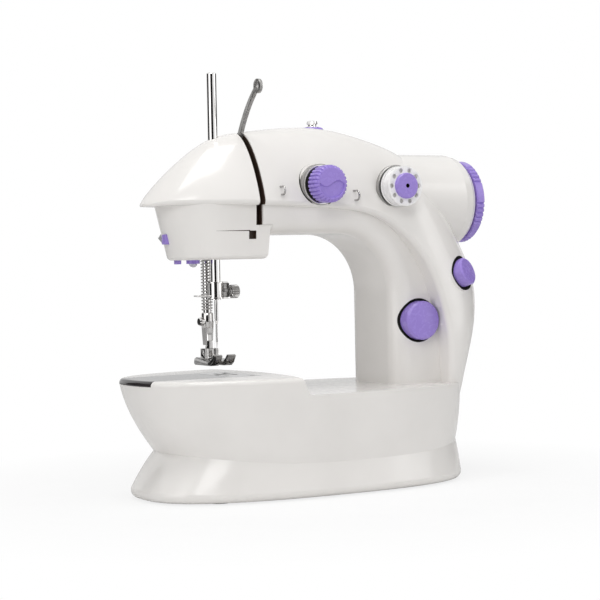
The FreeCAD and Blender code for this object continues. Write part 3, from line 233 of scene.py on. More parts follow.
# %% Dress the nodes
FINISH_OF_SLOT = {
    "white_plastic": white, "violet_plastic": lavender, "chrome": chrome, "steel": steel,
    "smoke_plastic": smoke, "black_rubber": rubber_and_shade, "grey_plastic": grey, "lamp_lens": lens,
    "brass": brass,
}


def dress(thing, finish):
    thing.data.materials.clear()
    thing.data.materials.append(finish)


for part in frame["record"]["subparts"]:
    dress(nodes[part["node"]], FINISH_OF_SLOT[part["material_slot"]])
for node in ("thread_guides", "needle_plate"):
    dress(nodes[node], nickel)

# %% [markdown]
# ## A way to finish a new piece
# Each new piece is a bmesh. When its shape is done, its doubles are merged, its faces are
# turned outwards, and it becomes an object at the origin that rides on a body. Its faces are
# shaded smooth, and edges sharper than a given angle stay crisp. One helper does this, so no
# piece can miss a step.

# %% Piece helper
SAME_SPOT = 1e-6


def finish_piece(name, bm, material, body, smooth=40):
    bmesh.ops.remove_doubles(bm, verts=bm.verts, dist=SAME_SPOT)
    bmesh.ops.recalc_face_normals(bm, faces=bm.faces)
    mesh = bpy.data.meshes.new(name)
    bm.to_mesh(mesh)
    bm.free()
    piece = bpy.data.objects.new(name, mesh)
    bpy.context.scene.collection.objects.link(piece)
    mesh.materials.append(material)
    mesh.polygons.foreach_set("use_smooth", [True] * len(mesh.polygons))
    mesh.set_sharp_from_angle(angle=math.radians(smooth))
    if body:
        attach(piece, body)
    print(name, len(mesh.polygons), "faces")
    return piece


def only(kind, geom):
    return [g for g in geom if isinstance(g, kind)]


# %% [markdown]
# ## The take-up slot's lining
# The take-up lever runs in a slot between the nose cover and the arm. Its two sides are lined
# with thin dark brown plates. The slot could be darkened with a material alone, but a plate
# keeps its edge at every angle. Each plate follows the dome, so its outline is one Bezier flank
# and a few straight runs, filled and extruded to a thin wall.

# %% Slot lining
SLOT_X = -37.5 * MM
SLOT_HALF = 1.6 * MM
LINING = 0.35 * MM
LINING_GAP = 0.02 * MM
LINING_BACK = -3.6 * MM
FLANK_POINTS = 24
DOME_FLANK = [Vector((0, y * MM, z * MM)) for y, z in
              ((-26.05, 146.3), (-23.0, 158.7), (-11.8, 180.75), (0, 180.75))]
LEDGE_Y, LEDGE_Z = -22.1 * MM, 134.4 * MM
LIP_Y, LIP_Z = -25.6 * MM, 144.3 * MM


def slot_lining(name, x):
    bm = bmesh.new()
    flank = [p for p in interpolate_bezier(*DOME_FLANK, FLANK_POINTS) if p.y < LINING_BACK]
    corners = [Vector((0, y, z)) for y, z in
               ((LINING_BACK, flank[-1].z), (LINING_BACK, LEDGE_Z), (LEDGE_Y, LEDGE_Z),
                (LEDGE_Y, LIP_Z), (LIP_Y, LIP_Z))]
    wall = bm.faces.new([bm.verts.new(p + Vector((x, 0, 0))) for p in flank + corners])
    grown = bmesh.ops.extrude_face_region(bm, geom=[wall])["geom"]
    bmesh.ops.translate(bm, verts=only(bmesh.types.BMVert, grown), vec=(LINING, 0, 0))
    finish_piece(name, bm, brown_and_shade, "housing", smooth=30)


slot_lining("slot_lining_right", SLOT_X + SLOT_HALF - LINING - LINING_GAP)
slot_lining("slot_lining_left", SLOT_X - SLOT_HALF + LINING_GAP)

# %% [markdown]
# ## The presser spring
# A compression spring is a wire wound to a helix. A curve with a round bevel would give it too,
# but the bmesh spin operator does it in one step: it takes a round section about an axis, and
# its step vector lifts each step. The spring is made in place and rides on no body.

# %% Presser spring
SPRING_AXIS = (-51 * MM, 10 * MM)
SPRING_LOW, SPRING_TOP = 91.8 * MM, 120.7 * MM
SPRING_R = 2.55 * MM
SPRING_WIRE_R = 0.4 * MM
SPRING_TURNS = 19
STEPS_PER_TURN = 28
SPRING_STEPS = SPRING_TURNS * STEPS_PER_TURN

bm = bmesh.new()
section = bmesh.ops.create_circle(bm, segments=10, radius=SPRING_WIRE_R)["verts"]
bmesh.ops.rotate(bm, verts=section, cent=(0, 0, 0), matrix=Matrix.Rotation(math.pi / 2, 3, "X"))
bmesh.ops.translate(bm, verts=section, vec=(SPRING_R, 0, SPRING_LOW))
rise = (SPRING_TOP - SPRING_LOW) / SPRING_STEPS
bmesh.ops.spin(bm, geom=list(bm.edges), cent=(0, 0, 0), axis=(0, 0, 1), dvec=(0, 0, rise),
               angle=SPRING_TURNS * 2 * math.pi, steps=SPRING_STEPS)
bmesh.ops.holes_fill(bm, edges=bm.edges, sides=0)
bmesh.ops.translate(bm, verts=bm.verts, vec=(*SPRING_AXIS, 0))
spring = finish_piece("presser_spring_wire", bm, steel, None, smooth=60)
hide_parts("presser_spring")
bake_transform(spring)

# %% [markdown]
# ## Helpers for turned and boxy pieces
# Washers, sleeves and pins are turned parts, so a helper spins an outline of radius and
# height, in millimetres, round an axis. Small brackets are blocks with broken edges, so
# another helper makes a block and bevels it. Both add to a bmesh that may hold more than one
# form, which ready-made cylinders and cubes would not do as neatly.

# %% Turned pieces
UP, RIGHT, BACK, FRONT = (0, 0, 1), (1, 0, 0), (0, 1, 0), (0, -1, 0)


def put(bm, verts, place, way):
    turn = Vector(UP).rotation_difference(Vector(way)).to_matrix()
    bmesh.ops.rotate(bm, verts=verts, cent=(0, 0, 0), matrix=turn)
    bmesh.ops.translate(bm, verts=verts, vec=[c * MM for c in place])
    return verts


def turned(bm, outline, place, way=UP, steps=48):
    old = set(bm.verts)
    spots = [bm.verts.new((r * MM, 0, h * MM)) for r, h in outline]
    runs = [bm.edges.new(pair) for pair in zip(spots, spots[1:] + spots[:1])]
    bmesh.ops.spin(bm, geom=spots + runs, cent=(0, 0, 0), axis=UP,
                   angle=2 * math.pi, steps=steps, use_merge=True)
    return put(bm, [v for v in bm.verts if v not in old], place, way)


def turned_piece(name, outline, place, way, finish, body, smooth=40, steps=48):
    bm = bmesh.new()
    turned(bm, outline, place, way, steps)
    return finish_piece(name, bm, finish, body, smooth)


# %% Blocks
def block(bm, low, high, edge=0.3, steps=2):
    old = set(bm.verts)
    fresh = bmesh.ops.create_cube(bm, size=1)["verts"]
    bmesh.ops.scale(bm, verts=fresh, vec=[(b - a) * MM for a, b in zip(low, high)])
    bmesh.ops.translate(bm, verts=fresh, vec=[(a + b) / 2 * MM for a, b in zip(low, high)])
    rims = list({e for v in fresh for e in v.link_edges})
    bmesh.ops.bevel(bm, geom=rims, offset=edge * MM, segments=steps, profile=0.5,
                    affect="EDGES", material=-1)
    return [v for v in bm.verts if v not in old]


def sink_front(bm, faces, margin, depth):
    front = min(faces, key=lambda f: f.calc_center_median().y)
    bmesh.ops.inset_region(bm, faces=[front], thickness=margin * MM, use_even_offset=True)
    bmesh.ops.translate(bm, verts=front.verts, vec=(0, depth * MM, 0))


# %% [markdown]
# ## Broken edges on small parts
# A stamped or moulded part never has a knife edge: a fine radius catches the light along
# each rim. A bevel in the material would only fake it, and it would not be in the mesh. The
# CAD mesh itself stays as it is. A copy is merged, its flat facets are joined and its sharp
# edges are bevelled, and the copy stands for the node.

# %% Soften the small parts
SAME_CAD_SPOT = 2e-6
FLAT_ANGLE = math.radians(0.5)
SHARP_ANGLE = math.radians(35)


def softened(node, body, width, slot, finish=None):
    bm = bmesh.new()
    bm.from_mesh(nodes[node].data)
    bmesh.ops.remove_doubles(bm, verts=bm.verts, dist=SAME_CAD_SPOT)
    bmesh.ops.dissolve_limit(bm, angle_limit=FLAT_ANGLE, verts=bm.verts, edges=bm.edges)
    rims = [e for e in bm.edges if e.is_manifold and e.calc_face_angle() > SHARP_ANGLE]
    bmesh.ops.bevel(bm, geom=rims, offset=width * MM, segments=2, profile=0.5, affect="EDGES",
                    clamp_overlap=True, material=-1)
    piece = finish_piece(node + "_soft", bm, finish or FINISH_OF_SLOT[slot], body, smooth=30)
    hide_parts(node)


softened("presser_foot", "foot", 0.30, "chrome", nickel)
softened("take_up_lever", "take_up", 0.20, "chrome", satin)
softened("thread_cutter", "housing", 0.45, "violet_plastic")
softened("lamp_switch", "lamp_slider", 0.30, "violet_plastic")
softened("presser_lifter", "lifter", 0.50, "grey_plastic")
softened("winder_bobbin", "winder", 0.15, "white_plastic", bright)

# %% [markdown]
# ## Fluted knobs
# A knob that fingers turn has flutes moulded into its rim. Each flute could be cut with a
# boolean, but that leaves poor faces. Here a knob is a turned outline with many steps, and its
# rim is drawn in by a depth that depends on the angle. A squared cosine gives each groove soft
# shoulders.

# %% Flutes
def groove(angle, pitch, half):
    off = abs((angle + pitch / 2) % pitch - pitch / 2)
    return math.cos(off / half * math.pi / 2) ** 2 if off < half else 0.0


def fluted(bm, outline, steps, rim, depth_at):
    fresh = turned(bm, outline, (0, 0, 0), UP, steps)
    for v in fresh:
        r = math.hypot(v.co.x, v.co.y)
        if r > rim * MM:
            drawn = 1 - depth_at(math.degrees(math.atan2(v.co.y, v.co.x))) * MM / r
            v.co.x *= drawn
            v.co.y *= drawn
    return fresh


# %% [markdown]
# ## Handwheel
# The handwheel turns the machine by hand. Its outline is a shallow dish with a rounded rim, and
# six groups of five grooves give the fingers a hold. Grooves all round would be simpler, but the
# smooth stretches between the groups catch the light as wide bands.

# %% Handwheel
WHEEL = (94.6, 0, 146)
WHEEL_OUTLINE = [(3.0, 0), (7, 0), (7, 1.5), (18.6, 1.5), (19.2, 0.3), (21.3, 0.3),
                 (21.8, 0.8), (21.8, 4.4), (21.1, 5.2), (19.5, 5.1), (17.5, 4.6), (11, 4.4),
                 (0, 4.4), (0, 2.2), (3.0, 2.2)]
WHEEL_STEPS, WHEEL_RIM = 360, 20.9
WHEEL_TURN = math.radians(-12)
GROUP_PITCH = 60
GROUP_ANGLES = [7 * k for k in range(-2, 3)]
WHEEL_GROOVE_HALF, WHEEL_GROOVE_DEPTH = 2.0, 0.75


def wheel_depth(angle):
    within = (angle + GROUP_PITCH / 2) % GROUP_PITCH - GROUP_PITCH / 2
    return WHEEL_GROOVE_DEPTH * max(groove(within - a, 360, WHEEL_GROOVE_HALF)
                                    for a in GROUP_ANGLES)


bm = bmesh.new()
rim = fluted(bm, WHEEL_OUTLINE, WHEEL_STEPS, WHEEL_RIM, wheel_depth)
bmesh.ops.rotate(bm, verts=rim, cent=(0, 0, 0), matrix=Matrix.Rotation(WHEEL_TURN, 3, "Z"))
put(bm, rim, WHEEL, RIGHT)
wheel = finish_piece("handwheel_fluted", bm, lavender, "main_drive", smooth=25)
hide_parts("handwheel")

# %% [markdown]
# ## Thumb screw
# The needle is held by a small screw that is turned by hand, with a knurled head on a plain
# neck. A bump could stand for the knurl, but the head is seen against the light, so its
# outline has to show it. The same flutes do it, finer and evenly spaced.

# %% Thumb screw
SCREW = (-48.3, 0, 101.4)
SCREW_OUTLINE = [(0, 0), (1.3, 0), (1.3, 4.4), (2.4, 4.4), (2.4, 5), (3.1, 5.2), (3.4, 5.5),
                 (3.4, 9), (3.1, 9.4), (2.4, 9.6), (0, 9.6)]
KNURL_STEPS, KNURL_RIM, KNURL_DEPTH = 144, 3.0, 0.35
KNURL_PITCH, KNURL_HALF = 15, 5.5

bm = bmesh.new()
knurl = fluted(bm, SCREW_OUTLINE, KNURL_STEPS, KNURL_RIM,
               lambda angle: KNURL_DEPTH * groove(angle, KNURL_PITCH, KNURL_HALF))
put(bm, knurl, SCREW, RIGHT)
knob = finish_piece("clamp_screw_knurled", bm, nickel, "clamp_knob", smooth=25)
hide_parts("clamp_screw")

# %% [markdown]
# ## Tension dial
# The dial has narrow grooves between wide ridges, and its front carries a wave: one half of the
# face stands a little lower than the other, and the step shows which way it is turned. The
# step could be cut along a curve, but that needs a clean split of the face. It is simpler to
# turn the face from many rings and push back the points below the wave.

# %% Tension dial
DIAL = (-4.5, -29.5, 154)
DIAL_STEPS, DIAL_RIM, DIAL_GROOVE_DEPTH = 224, 8.0, 0.7
DIAL_PITCH, DIAL_GROOVE_HALF = 360 / 28, 3.0
DIAL_SIDE = [(2.05, 0), (8.8, 0), (9.4, 0.6), (9.4, 6.6), (9.2, 7.3), (8.7, 7.9), (8.2, 8.25)]
FACE_R, FACE_RING, FACE_RINGS = 7.75, 0.25, 31
FACE_H, FACE_RISE = 8.42, 0.0027
DIAL_FACE = [(FACE_R - FACE_RING * k, FACE_H + FACE_RISE * k) for k in range(FACE_RINGS)]
DIAL_BORE = [(0, 8.5), (0, 7.0), (2.05, 7.0)]
FACE_Y = -37.85
WAVE_RISE, WAVE_HALF, WAVE_STEP, WAVE_EDGE = 1.5, 7.0, 0.8, 0.35


def wave_side(x, z):
    bend = WAVE_RISE * math.sin(math.pi * x / WAVE_HALF)
    return min(1.0, max(0.0, (bend - z) / WAVE_EDGE + 0.5))


bm = bmesh.new()
cap = fluted(bm, DIAL_SIDE + DIAL_FACE + DIAL_BORE, DIAL_STEPS, DIAL_RIM,
             lambda angle: DIAL_GROOVE_DEPTH * groove(angle, DIAL_PITCH, DIAL_GROOVE_HALF))
put(bm, cap, DIAL, FRONT)
for v in cap:
    x, z = v.co.x / MM - DIAL[0], v.co.z / MM - DIAL[2]
    if v.co.y < FACE_Y * MM and math.hypot(x, z) < WAVE_HALF:
        v.co.y += WAVE_STEP * MM * wave_side(x, z)
dial = finish_piece("tension_dial_fluted", bm, lavender, "dial", smooth=30)
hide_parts("tension_dial")

# %% [markdown]
# ## Shade ring behind the dial
# Between the tension plates and the dial a black ring paints the shade of the gap, and it
# reads as a black line behind the dial. A dark band in the dial's finish could show it, but a
# ring of its own stays still while the dial turns.

# %% Dial gap shade
DIAL_GAP_SHADE = (-4.5, -27.95, 154)
DIAL_GAP_SHADE_OUTLINE = [(7.75, 0), (8.95, 0), (9.05, 0.2), (9.05, 1.15), (8.95, 1.35), (7.75, 1.35)]
turned_piece("dial_gap_shade", DIAL_GAP_SHADE_OUTLINE, DIAL_GAP_SHADE, FRONT, black_shade, "housing")

# %% [markdown]
# ## Shade ring of the speed button
# A black ring in the gap round the speed button paints its shade. A flat ring would lift off
# where the column's corner turns away, so the ring is turned flat and then each point sinks by
# the drop of that round corner.

# %% Speed gap shade
SPEED = (54.5, -23.5, 84)
SPEED_GAP_SHADE = [(10.12, -2), (10.12, -0.3), (10.5, 0.06), (11.2, 0.12), (11.5, -0.05),
              (11.5, -0.5), (10.8, -2)]
CORNER_X, CORNER_R, CORNER_RUN = 49.6, 9.0, 8.9


def corner_drop(x):
    run = max(0.0, CORNER_X - x / MM)
    return (CORNER_R - math.sqrt(CORNER_R ** 2 - min(run, CORNER_RUN) ** 2)) * MM


bm = bmesh.new()
for v in turned(bm, SPEED_GAP_SHADE, SPEED, FRONT, steps=96):
    v.co.y += corner_drop(v.co.x)
finish_piece("speed_gap_shade", bm, black_shade, "housing")

# %% [markdown]
# ## Shade ring of the power button
# The power button's gap has a black ring of painted shade too, but the shell under it is a free
# form with no simple rule.
# A Shrinkwrap modifier could lay the ring on it. A ray does the same in the mesh itself: it
# finds the surface at each step round the ring, and the whole section is lifted to it.

# %% Power gap shade
POWER = Vector((78.5, -31.6, 108.4)) * MM
POWER_TURN, POWER_TILT = math.radians(29), math.radians(20)
POWER_WAY = Vector((math.sin(POWER_TURN) * math.cos(POWER_TILT),
                    -math.cos(POWER_TURN) * math.cos(POWER_TILT), math.sin(POWER_TILT)))
POWER_GAP_SHADE = [(7.45, -1.5), (7.45, -0.1), (8.2, 0.12), (9.0, 0.12), (9.15, -0.15), (8.1, -1.5)]
POWER_LAID_AT = 8.6
RAY_START = 15 * MM


def shell_height(spot, centre, way, laid_at):
    spoke = spot - centre
    spoke -= way * spoke.dot(way)
    reach = max(spoke.length, laid_at * MM)
    start = centre + spoke.normalized() * reach + way * RAY_START
    hit, ground = nodes["front_shell"].ray_cast(start, -way)[:2]
    return (ground - centre).dot(way) if hit else 0.0


def laid_ring(name, outline, centre, way, laid_at):
    bm = bmesh.new()
    for v in turned(bm, outline, centre / MM, way, steps=72):
        v.co += way * shell_height(v.co, centre, way, laid_at)
    finish_piece(name, bm, black_shade, "housing")


laid_ring("power_gap_shade", POWER_GAP_SHADE, POWER, POWER_WAY, POWER_LAID_AT)

# %% [markdown]
# ## Collar of the tension dial
# The plates of the tension dial stand on a round pad, which a satin steel collar covers. Where
# the collar meets the arm, a thin dark line shows. A shadow alone would not draw it so clearly,
# so the line is a black turned ring of painted shade, laid on the arm as the power button's shade
# ring is.

# %% Tension collar
PAD = Vector((-4.5, -27, 154)) * MM
PAD_WAY = Vector(FRONT)
COLLAR_OUTLINE = [(9.9, -3.6), (10.35, -3.6), (10.35, -0.2), (10.2, 0.05), (9.9, 0.05)]
COLLAR_SHADE_LINE = [(10.2, -1.0), (10.2, 0.08), (10.75, 0.08), (10.9, -0.1), (10.6, -1.0)]
PAD_LAID_AT = 10.9

turned_piece("tension_collar", COLLAR_OUTLINE, PAD / MM, PAD_WAY, satin, "housing",
             smooth=35, steps=72)
laid_ring("tension_line_shade", COLLAR_SHADE_LINE, PAD, PAD_WAY, PAD_LAID_AT)

# %% [markdown]
# ## Bobbin winder
# A satin steel ring stands behind the bobbin on the winder, and a black ring between them
# paints the shade of the gap. Between the bobbin's flanges sits a white drum with fine grooves,
# and a pale grey disc closes it behind the round holes of the front flange; its grey is painted
# shade in the holes. A black cup in the hole of the cap paints the shade inside it. One outline
# could hold them all, but they differ in finish and in what turns, so each is turned by itself.

# %% Winder ring, gap, disc, drum and eye
WINDER_X, WINDER_Z = 39.8, 153
RING_Y, GAP_SHADE_Y, DRUM_Y, DISC_Y, EYE_Y = -25.4, -27.92, -29.9, -34.5, -36.22
RING_OUTLINE = [(8.55, 0), (10.9, 0), (11.1, 0.2), (11.1, 2.3), (10.9, 2.5), (8.55, 2.5)]
GAP_SHADE_OUTLINE = [(8.55, 0), (9.9, 0), (10.0, 0.1), (10.0, 0.4), (8.55, 0.45)]
DISC_OUTLINE = [(5.4, 0), (9.2, 0), (9.3, 0.1), (9.3, 0.3), (9.2, 0.4), (5.4, 0.4)]
DRUM_GROOVES = [(r, h + dh) for h in (1.1, 2.2, 3.3)
                for r, dh in ((9.6, -0.15), (9.42, 0), (9.6, 0.15))]
DRUM_OUTLINE = [(5.4, 0), (9.5, 0), (9.6, 0.1), *DRUM_GROOVES, (9.6, 4.3), (9.5, 4.4), (5.4, 4.4)]
EYE_SHADE_OUTLINE = [(0, 0), (1.08, 0), (1.08, 2.0), (0.98, 2.0), (0.98, 0.1), (0, 0.1)]


def winder_piece(name, outline, y, finish, body, smooth=40, steps=48):
    turned_piece(name, outline, (WINDER_X, y, WINDER_Z), FRONT, finish, body, smooth, steps)


winder_piece("winder_ring", RING_OUTLINE, RING_Y, satin, "housing", smooth=35)
winder_piece("winder_gap_shade", GAP_SHADE_OUTLINE, GAP_SHADE_Y, black_shade, "housing")
winder_piece("winder_disc_shade", DISC_OUTLINE, DISC_Y, pale_shade, "winder")
winder_piece("winder_drum", DRUM_OUTLINE, DRUM_Y, bright, "winder",
             smooth=30, steps=64)
winder_piece("winder_eye_shade", EYE_SHADE_OUTLINE, EYE_Y, black_shade, "winder",
             smooth=30, steps=32)

# %% [markdown]
# ## Recess behind the head notch
# The small notch under the slot is the end of a thread channel. It could stay an open hole, but
# then the light inside the head would show. It is lined with a dark brown tray that paints the
# shade inside the notch: a block whose front face is inset and pushed back, so it has a rim and
# a floor.

# %% Notch tray
NOTCH_LOW, NOTCH_HIGH = (-43.0, -21.6, 127.4), (-39.2, -18.4, 131.4)

bm = bmesh.new()
block(bm, NOTCH_LOW, NOTCH_HIGH, edge=0.1, steps=1)
sink_front(bm, bm.faces, margin=0.3, depth=2)
finish_piece("notch_tray_shade", bm, brown_and_shade, "housing", smooth=30)

# %% [markdown]
# ## Needle clamp
# The clamp is a sleeve on the needle bar between two thin flanges, and a wire on it leads the
# thread. The sleeve is turned, and the flanges are turned collars with bevelled blocks. The wire
# could be a curve, but it joins this bmesh more simply as a circle that is extruded, spun round
# its bend and extruded again.

# %% Clamp sleeve and flanges
CLAMP_X, CLAMP_LOW = -51, 98.0
FLANGES = (98.0, 105.75)
FLANGE = 0.75
EAR_FROM_X, EAR_TO_X, EAR_HALF = -48.3, -44.45, 2.9
SLEEVE_OUTLINE = [(2.52, 0.1), (3.5, 0.1), (3.5, 8.4), (2.52, 8.4)]
FLANGE_OUTLINE = [(2.52, 0), (4.2, 0), (4.3, 0.1), (4.3, 0.65), (4.2, FLANGE), (2.52, FLANGE)]

bm = bmesh.new()
turned(bm, SLEEVE_OUTLINE, (CLAMP_X, 0, CLAMP_LOW))
for z in FLANGES:
    turned(bm, FLANGE_OUTLINE, (CLAMP_X, 0, z))
    block(bm, (EAR_FROM_X, -EAR_HALF, z), (EAR_TO_X, EAR_HALF, z + FLANGE), edge=0.15)
print("sleeve and flanges:", len(bm.faces), "faces")

# %% Clamp wire
WIRE_R = 0.42 * MM
WIRE_START = (-54.0, -1.6, 99.6)
WIRE_BEND = (-60.9, -0.5, 99.6)
WIRE_RUN, WIRE_TAIL = -6.9 * MM, 2.6 * MM
WIRE_FAR_X = -60 * MM


def drawn_out(bm, edges, vec):
    run = bmesh.ops.extrude_edge_only(bm, edges=edges)["geom"]
    bmesh.ops.translate(bm, verts=only(bmesh.types.BMVert, run), vec=vec)
    return only(bmesh.types.BMEdge, run)


wire = bmesh.ops.create_circle(bm, segments=12, radius=WIRE_R)["verts"]
bmesh.ops.rotate(bm, verts=wire, cent=(0, 0, 0), matrix=Matrix.Rotation(math.pi / 2, 3, "Y"))
bmesh.ops.translate(bm, verts=wire, vec=[c * MM for c in WIRE_START])
run = drawn_out(bm, list({e for v in wire for e in v.link_edges}), (WIRE_RUN, 0, 0))
end = [e for e in run if all(v.co.x < WIRE_FAR_X for v in e.verts)]
bent = bmesh.ops.spin(bm, geom=end, cent=[c * MM for c in WIRE_BEND], axis=UP,
                      angle=-math.pi / 2, steps=8)["geom_last"]
drawn_out(bm, only(bmesh.types.BMEdge, bent), (0, WIRE_TAIL, 0))
bmesh.ops.holes_fill(bm, edges=[e for e in bm.edges if e.is_boundary], sides=0)
clamp = finish_piece("needle_clamp_sleeve", bm, chrome, "needle_group", smooth=35)
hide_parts("needle_clamp")

# %% [markdown]
# ## Clamp lug
# The thumb screw runs in a lug between the two flanges, with a sunk front and a small screw
# head in it. It is darker than the sleeve, so it is a piece of its own: a bevelled block whose
# front is inset and pushed back, and a turned button.

# %% Clamp lug
LUG_LOW, LUG_HIGH = (-48.0, -2.5, 98.5), (-44.6, 2.5, 106.0)
LUG_SCREW = (-46.3, -1.2, 102.2)
LUG_SCREW_OUTLINE = [(0, 0), (0.8, 0), (1.0, -0.3), (1.0, -0.9), (0.8, -1.1), (0, -1.1)]

bm = bmesh.new()
lug = block(bm, LUG_LOW, LUG_HIGH)
sink_front(bm, {f for v in lug for f in v.link_faces}, margin=0.5, depth=1.4)
turned(bm, LUG_SCREW_OUTLINE, LUG_SCREW, BACK, steps=24)
finish_piece("needle_clamp_lug", bm, nickel, "needle_group", smooth=35)

# %% [markdown]
# ## Presser shank
# The shank is a small casting: a collar clamps the bar, a flat cheek runs down from it, and a
# narrow tongue carries the foot on a cross pin. It could be sculpted as one skin, but plain
# forms that overlap look the same at this size. The collar and pin are turned, and the cheek is
# a cube that is drawn in towards its lower end, with a shallow panel in its front.

# %% Presser shank
BAR_X, BAR_Y = -51, 10
COLLAR_ON_BAR = [(2.02, 83.2), (2.9, 83.2), (3.0, 83.4), (3.0, 90.4), (2.6, 91.0), (2.02, 91.0)]
CHEEK_SIZE = (4.6, 5.0, 12.0)
CHEEK_Z = 80.6
CHEEK_TAPER_X, CHEEK_TAPER_Y = 0.72, 0.86
TONGUE_LOW, TONGUE_HIGH = (-52.5, 5.7, 68.7), (-49.5, 10.3, 77.0)
PIN = (-55, 8, 71)
PIN_OUTLINE = [(0, 0), (0.8, 0), (1.0, 0.2), (1.0, 7.8), (0.8, 8.0), (0, 8.0)]

bm = bmesh.new()
turned(bm, COLLAR_ON_BAR, (BAR_X, BAR_Y, 0))
cheek = bmesh.ops.create_cube(bm, size=1)["verts"]
bmesh.ops.scale(bm, verts=cheek, vec=[c * MM for c in CHEEK_SIZE])
for v in cheek:
    if v.co.z < 0:
        v.co.x *= CHEEK_TAPER_X
        v.co.y *= CHEEK_TAPER_Y
bmesh.ops.translate(bm, verts=cheek, vec=[c * MM for c in (BAR_X, BAR_Y, CHEEK_Z)])
sink_front(bm, {f for v in cheek for f in v.link_faces}, margin=0.7, depth=0.4)
block(bm, TONGUE_LOW, TONGUE_HIGH, edge=0.4)
turned(bm, PIN_OUTLINE, PIN, RIGHT, steps=24)
shank = finish_piece("foot_shank_casting", bm, casting, "presser", smooth=35)
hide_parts("foot_shank")

# %% [markdown]
# ## Spool collar
# The spool pin slides in a lavender collar that stands a little above the arm's crest. A plain
# tube would do, but a sloped top catches the light as the moulded one does. It is a turned
# ring, open round the pin's head.

# %% Spool collar
SPOOL = (11.5, 8, 183)
SPOOL_OUTLINE = [(3.75, -2.0), (5.9, -2.0), (5.9, 0.9), (5.5, 1.7), (4.7, 2.2), (3.75, 2.3)]
turned_piece("spool_collar", SPOOL_OUTLINE, SPOOL, UP, lavender, "housing",
             smooth=35, steps=64)

# %% [markdown]
# ## Shut line of the nose cover
# Two mouldings meet low on the head's front, and the upper one's edge casts a fine shadow that
# runs from the notch to the left and fades out. Here that shadow is painted: a dark brown cone.
# A dark stripe in the material could not fade in width so simply. A long thin cone is cut into
# steps, a ray finds the head's skin at each of them, and the cone is laid half into it.

# %% Shut line
SHUT_Z = 131.55
SHUT_FROM, SHUT_TO = -61.0, -42.6
SHUT_THIN, SHUT_THICK = 0.04 * MM, 0.24 * MM
SHUT_CUTS = 39
LONG_EDGE = 5 * MM
RAY_FRONT = -60 * MM

bm = bmesh.new()
bmesh.ops.create_cone(bm, cap_ends=True, segments=8, radius1=SHUT_THIN, radius2=SHUT_THICK,
                      depth=(SHUT_TO - SHUT_FROM) * MM)
long_edges = [e for e in bm.edges if abs(e.verts[0].co.z - e.verts[1].co.z) > LONG_EDGE]
bmesh.ops.subdivide_edges(bm, edges=long_edges, cuts=SHUT_CUTS, use_grid_fill=True)
put(bm, bm.verts[:], ((SHUT_FROM + SHUT_TO) / 2, 0, SHUT_Z), RIGHT)
for v in bm.verts:
    skin = nodes["nose_cover"].ray_cast((v.co.x, RAY_FRONT, SHUT_Z * MM), BACK)[1]
    v.co.y += skin.y
finish_piece("cover_shut_line_shade", bm, brown_and_shade, "housing")

# %% [markdown]
# ## Feed teeth
# The feed dog grips the cloth with rows of saw teeth. An Array modifier could repeat one tooth,
# but a loop keeps both rows in one mesh. One tooth is a three-sided prism, an extruded
# triangle, and copies of it step along each row.

# %% Feed teeth
TOOTH_ROWS = (-48.2, -43.2)
TEETH_PER_ROW = 9
FIRST_TOOTH_Y, TOOTH_PITCH = -1.4, 1.08
TOOTH_Z = 59.38
TOOTH = ((0, 0), (1.06, 0), (0.3, 0.36))
TOOTH_WIDTH = 1.6 * MM

bm = bmesh.new()
for x in TOOTH_ROWS:
    for k in range(TEETH_PER_ROW):
        y = FIRST_TOOTH_Y + TOOTH_PITCH * k
        side = bm.faces.new([bm.verts.new([c * MM for c in (x, y + dy, TOOTH_Z + dz)])
                             for dy, dz in TOOTH])
        grown = bmesh.ops.extrude_face_region(bm, geom=[side])["geom"]
        bmesh.ops.translate(bm, verts=only(bmesh.types.BMVert, grown), vec=(TOOTH_WIDTH, 0, 0))
finish_piece("feed_teeth", bm, steel, "feed", smooth=20)

# %% [markdown]
# ## Cross recesses
# The plate and the back are held by cross-head screws. Real recesses could be cut into the
# heads, but the heads are only a few millimetres wide. Each gets a black cross of painted shade
# instead: two thin bevelled bars that just break the surface.

# %% Screw crosses
PLATE_SCREWS = ((-39.5, -14), (-39.5, 14))
PLATE_ARM, PLATE_BAR = 1.0, 0.22
PLATE_LOW, PLATE_TOP = 59.4, 59.72
BACK_SCREWS = ((0.0, 137.0), (50.0, 118.0), (52.0, 84.0))
BACK_ARM, BACK_BAR = 1.5, 0.32
BACK_IN, BACK_OUT = 23.0, 23.34

bm = bmesh.new()
for x, y in PLATE_SCREWS:
    for dx, dy in ((PLATE_ARM, PLATE_BAR), (PLATE_BAR, PLATE_ARM)):
        block(bm, (x - dx, y - dy, PLATE_LOW), (x + dx, y + dy, PLATE_TOP), edge=0.05, steps=1)
for x, z in BACK_SCREWS:
    for dx, dz in ((BACK_ARM, BACK_BAR), (BACK_BAR, BACK_ARM)):
        block(bm, (x - dx, BACK_IN, z - dz), (x + dx, BACK_OUT, z + dz), edge=0.06, steps=1)
finish_piece("screw_cross_shade", bm, rubber_and_shade, "housing", smooth=30)

# %% [markdown]
# ## Jack contacts
# Each round jack at the back has a bright pin in the middle of its bore. A cylinder would have
# a flat end, so each pin is turned along Y from an outline with a domed tip.

# %% Jack contacts
JACKS = ((54.2, 0.95), (62.6, 0.7))
JACK_Y, JACK_Z = 15.1, 62
JACK_TIP = ((1, 6.0), (0.6, 6.6), (0, 6.8))

bm = bmesh.new()
for x, r in JACKS:
    outline = [(0, 0), (r, 0)] + [(r * share, h) for share, h in JACK_TIP]
    turned(bm, outline, (x, JACK_Y, JACK_Z), BACK, steps=24)
finish_piece("jack_pins", bm, chrome, "housing", smooth=30)

# %% [markdown]
# ## Floor
# The machine stands on a plain white sweep. A white sheet under lamps always turns a little
# grey, and more lamps would burn out the machine. So the camera sees the sheet glow white, and
# only near the machine does some of its real shading show, as a soft contact shadow.

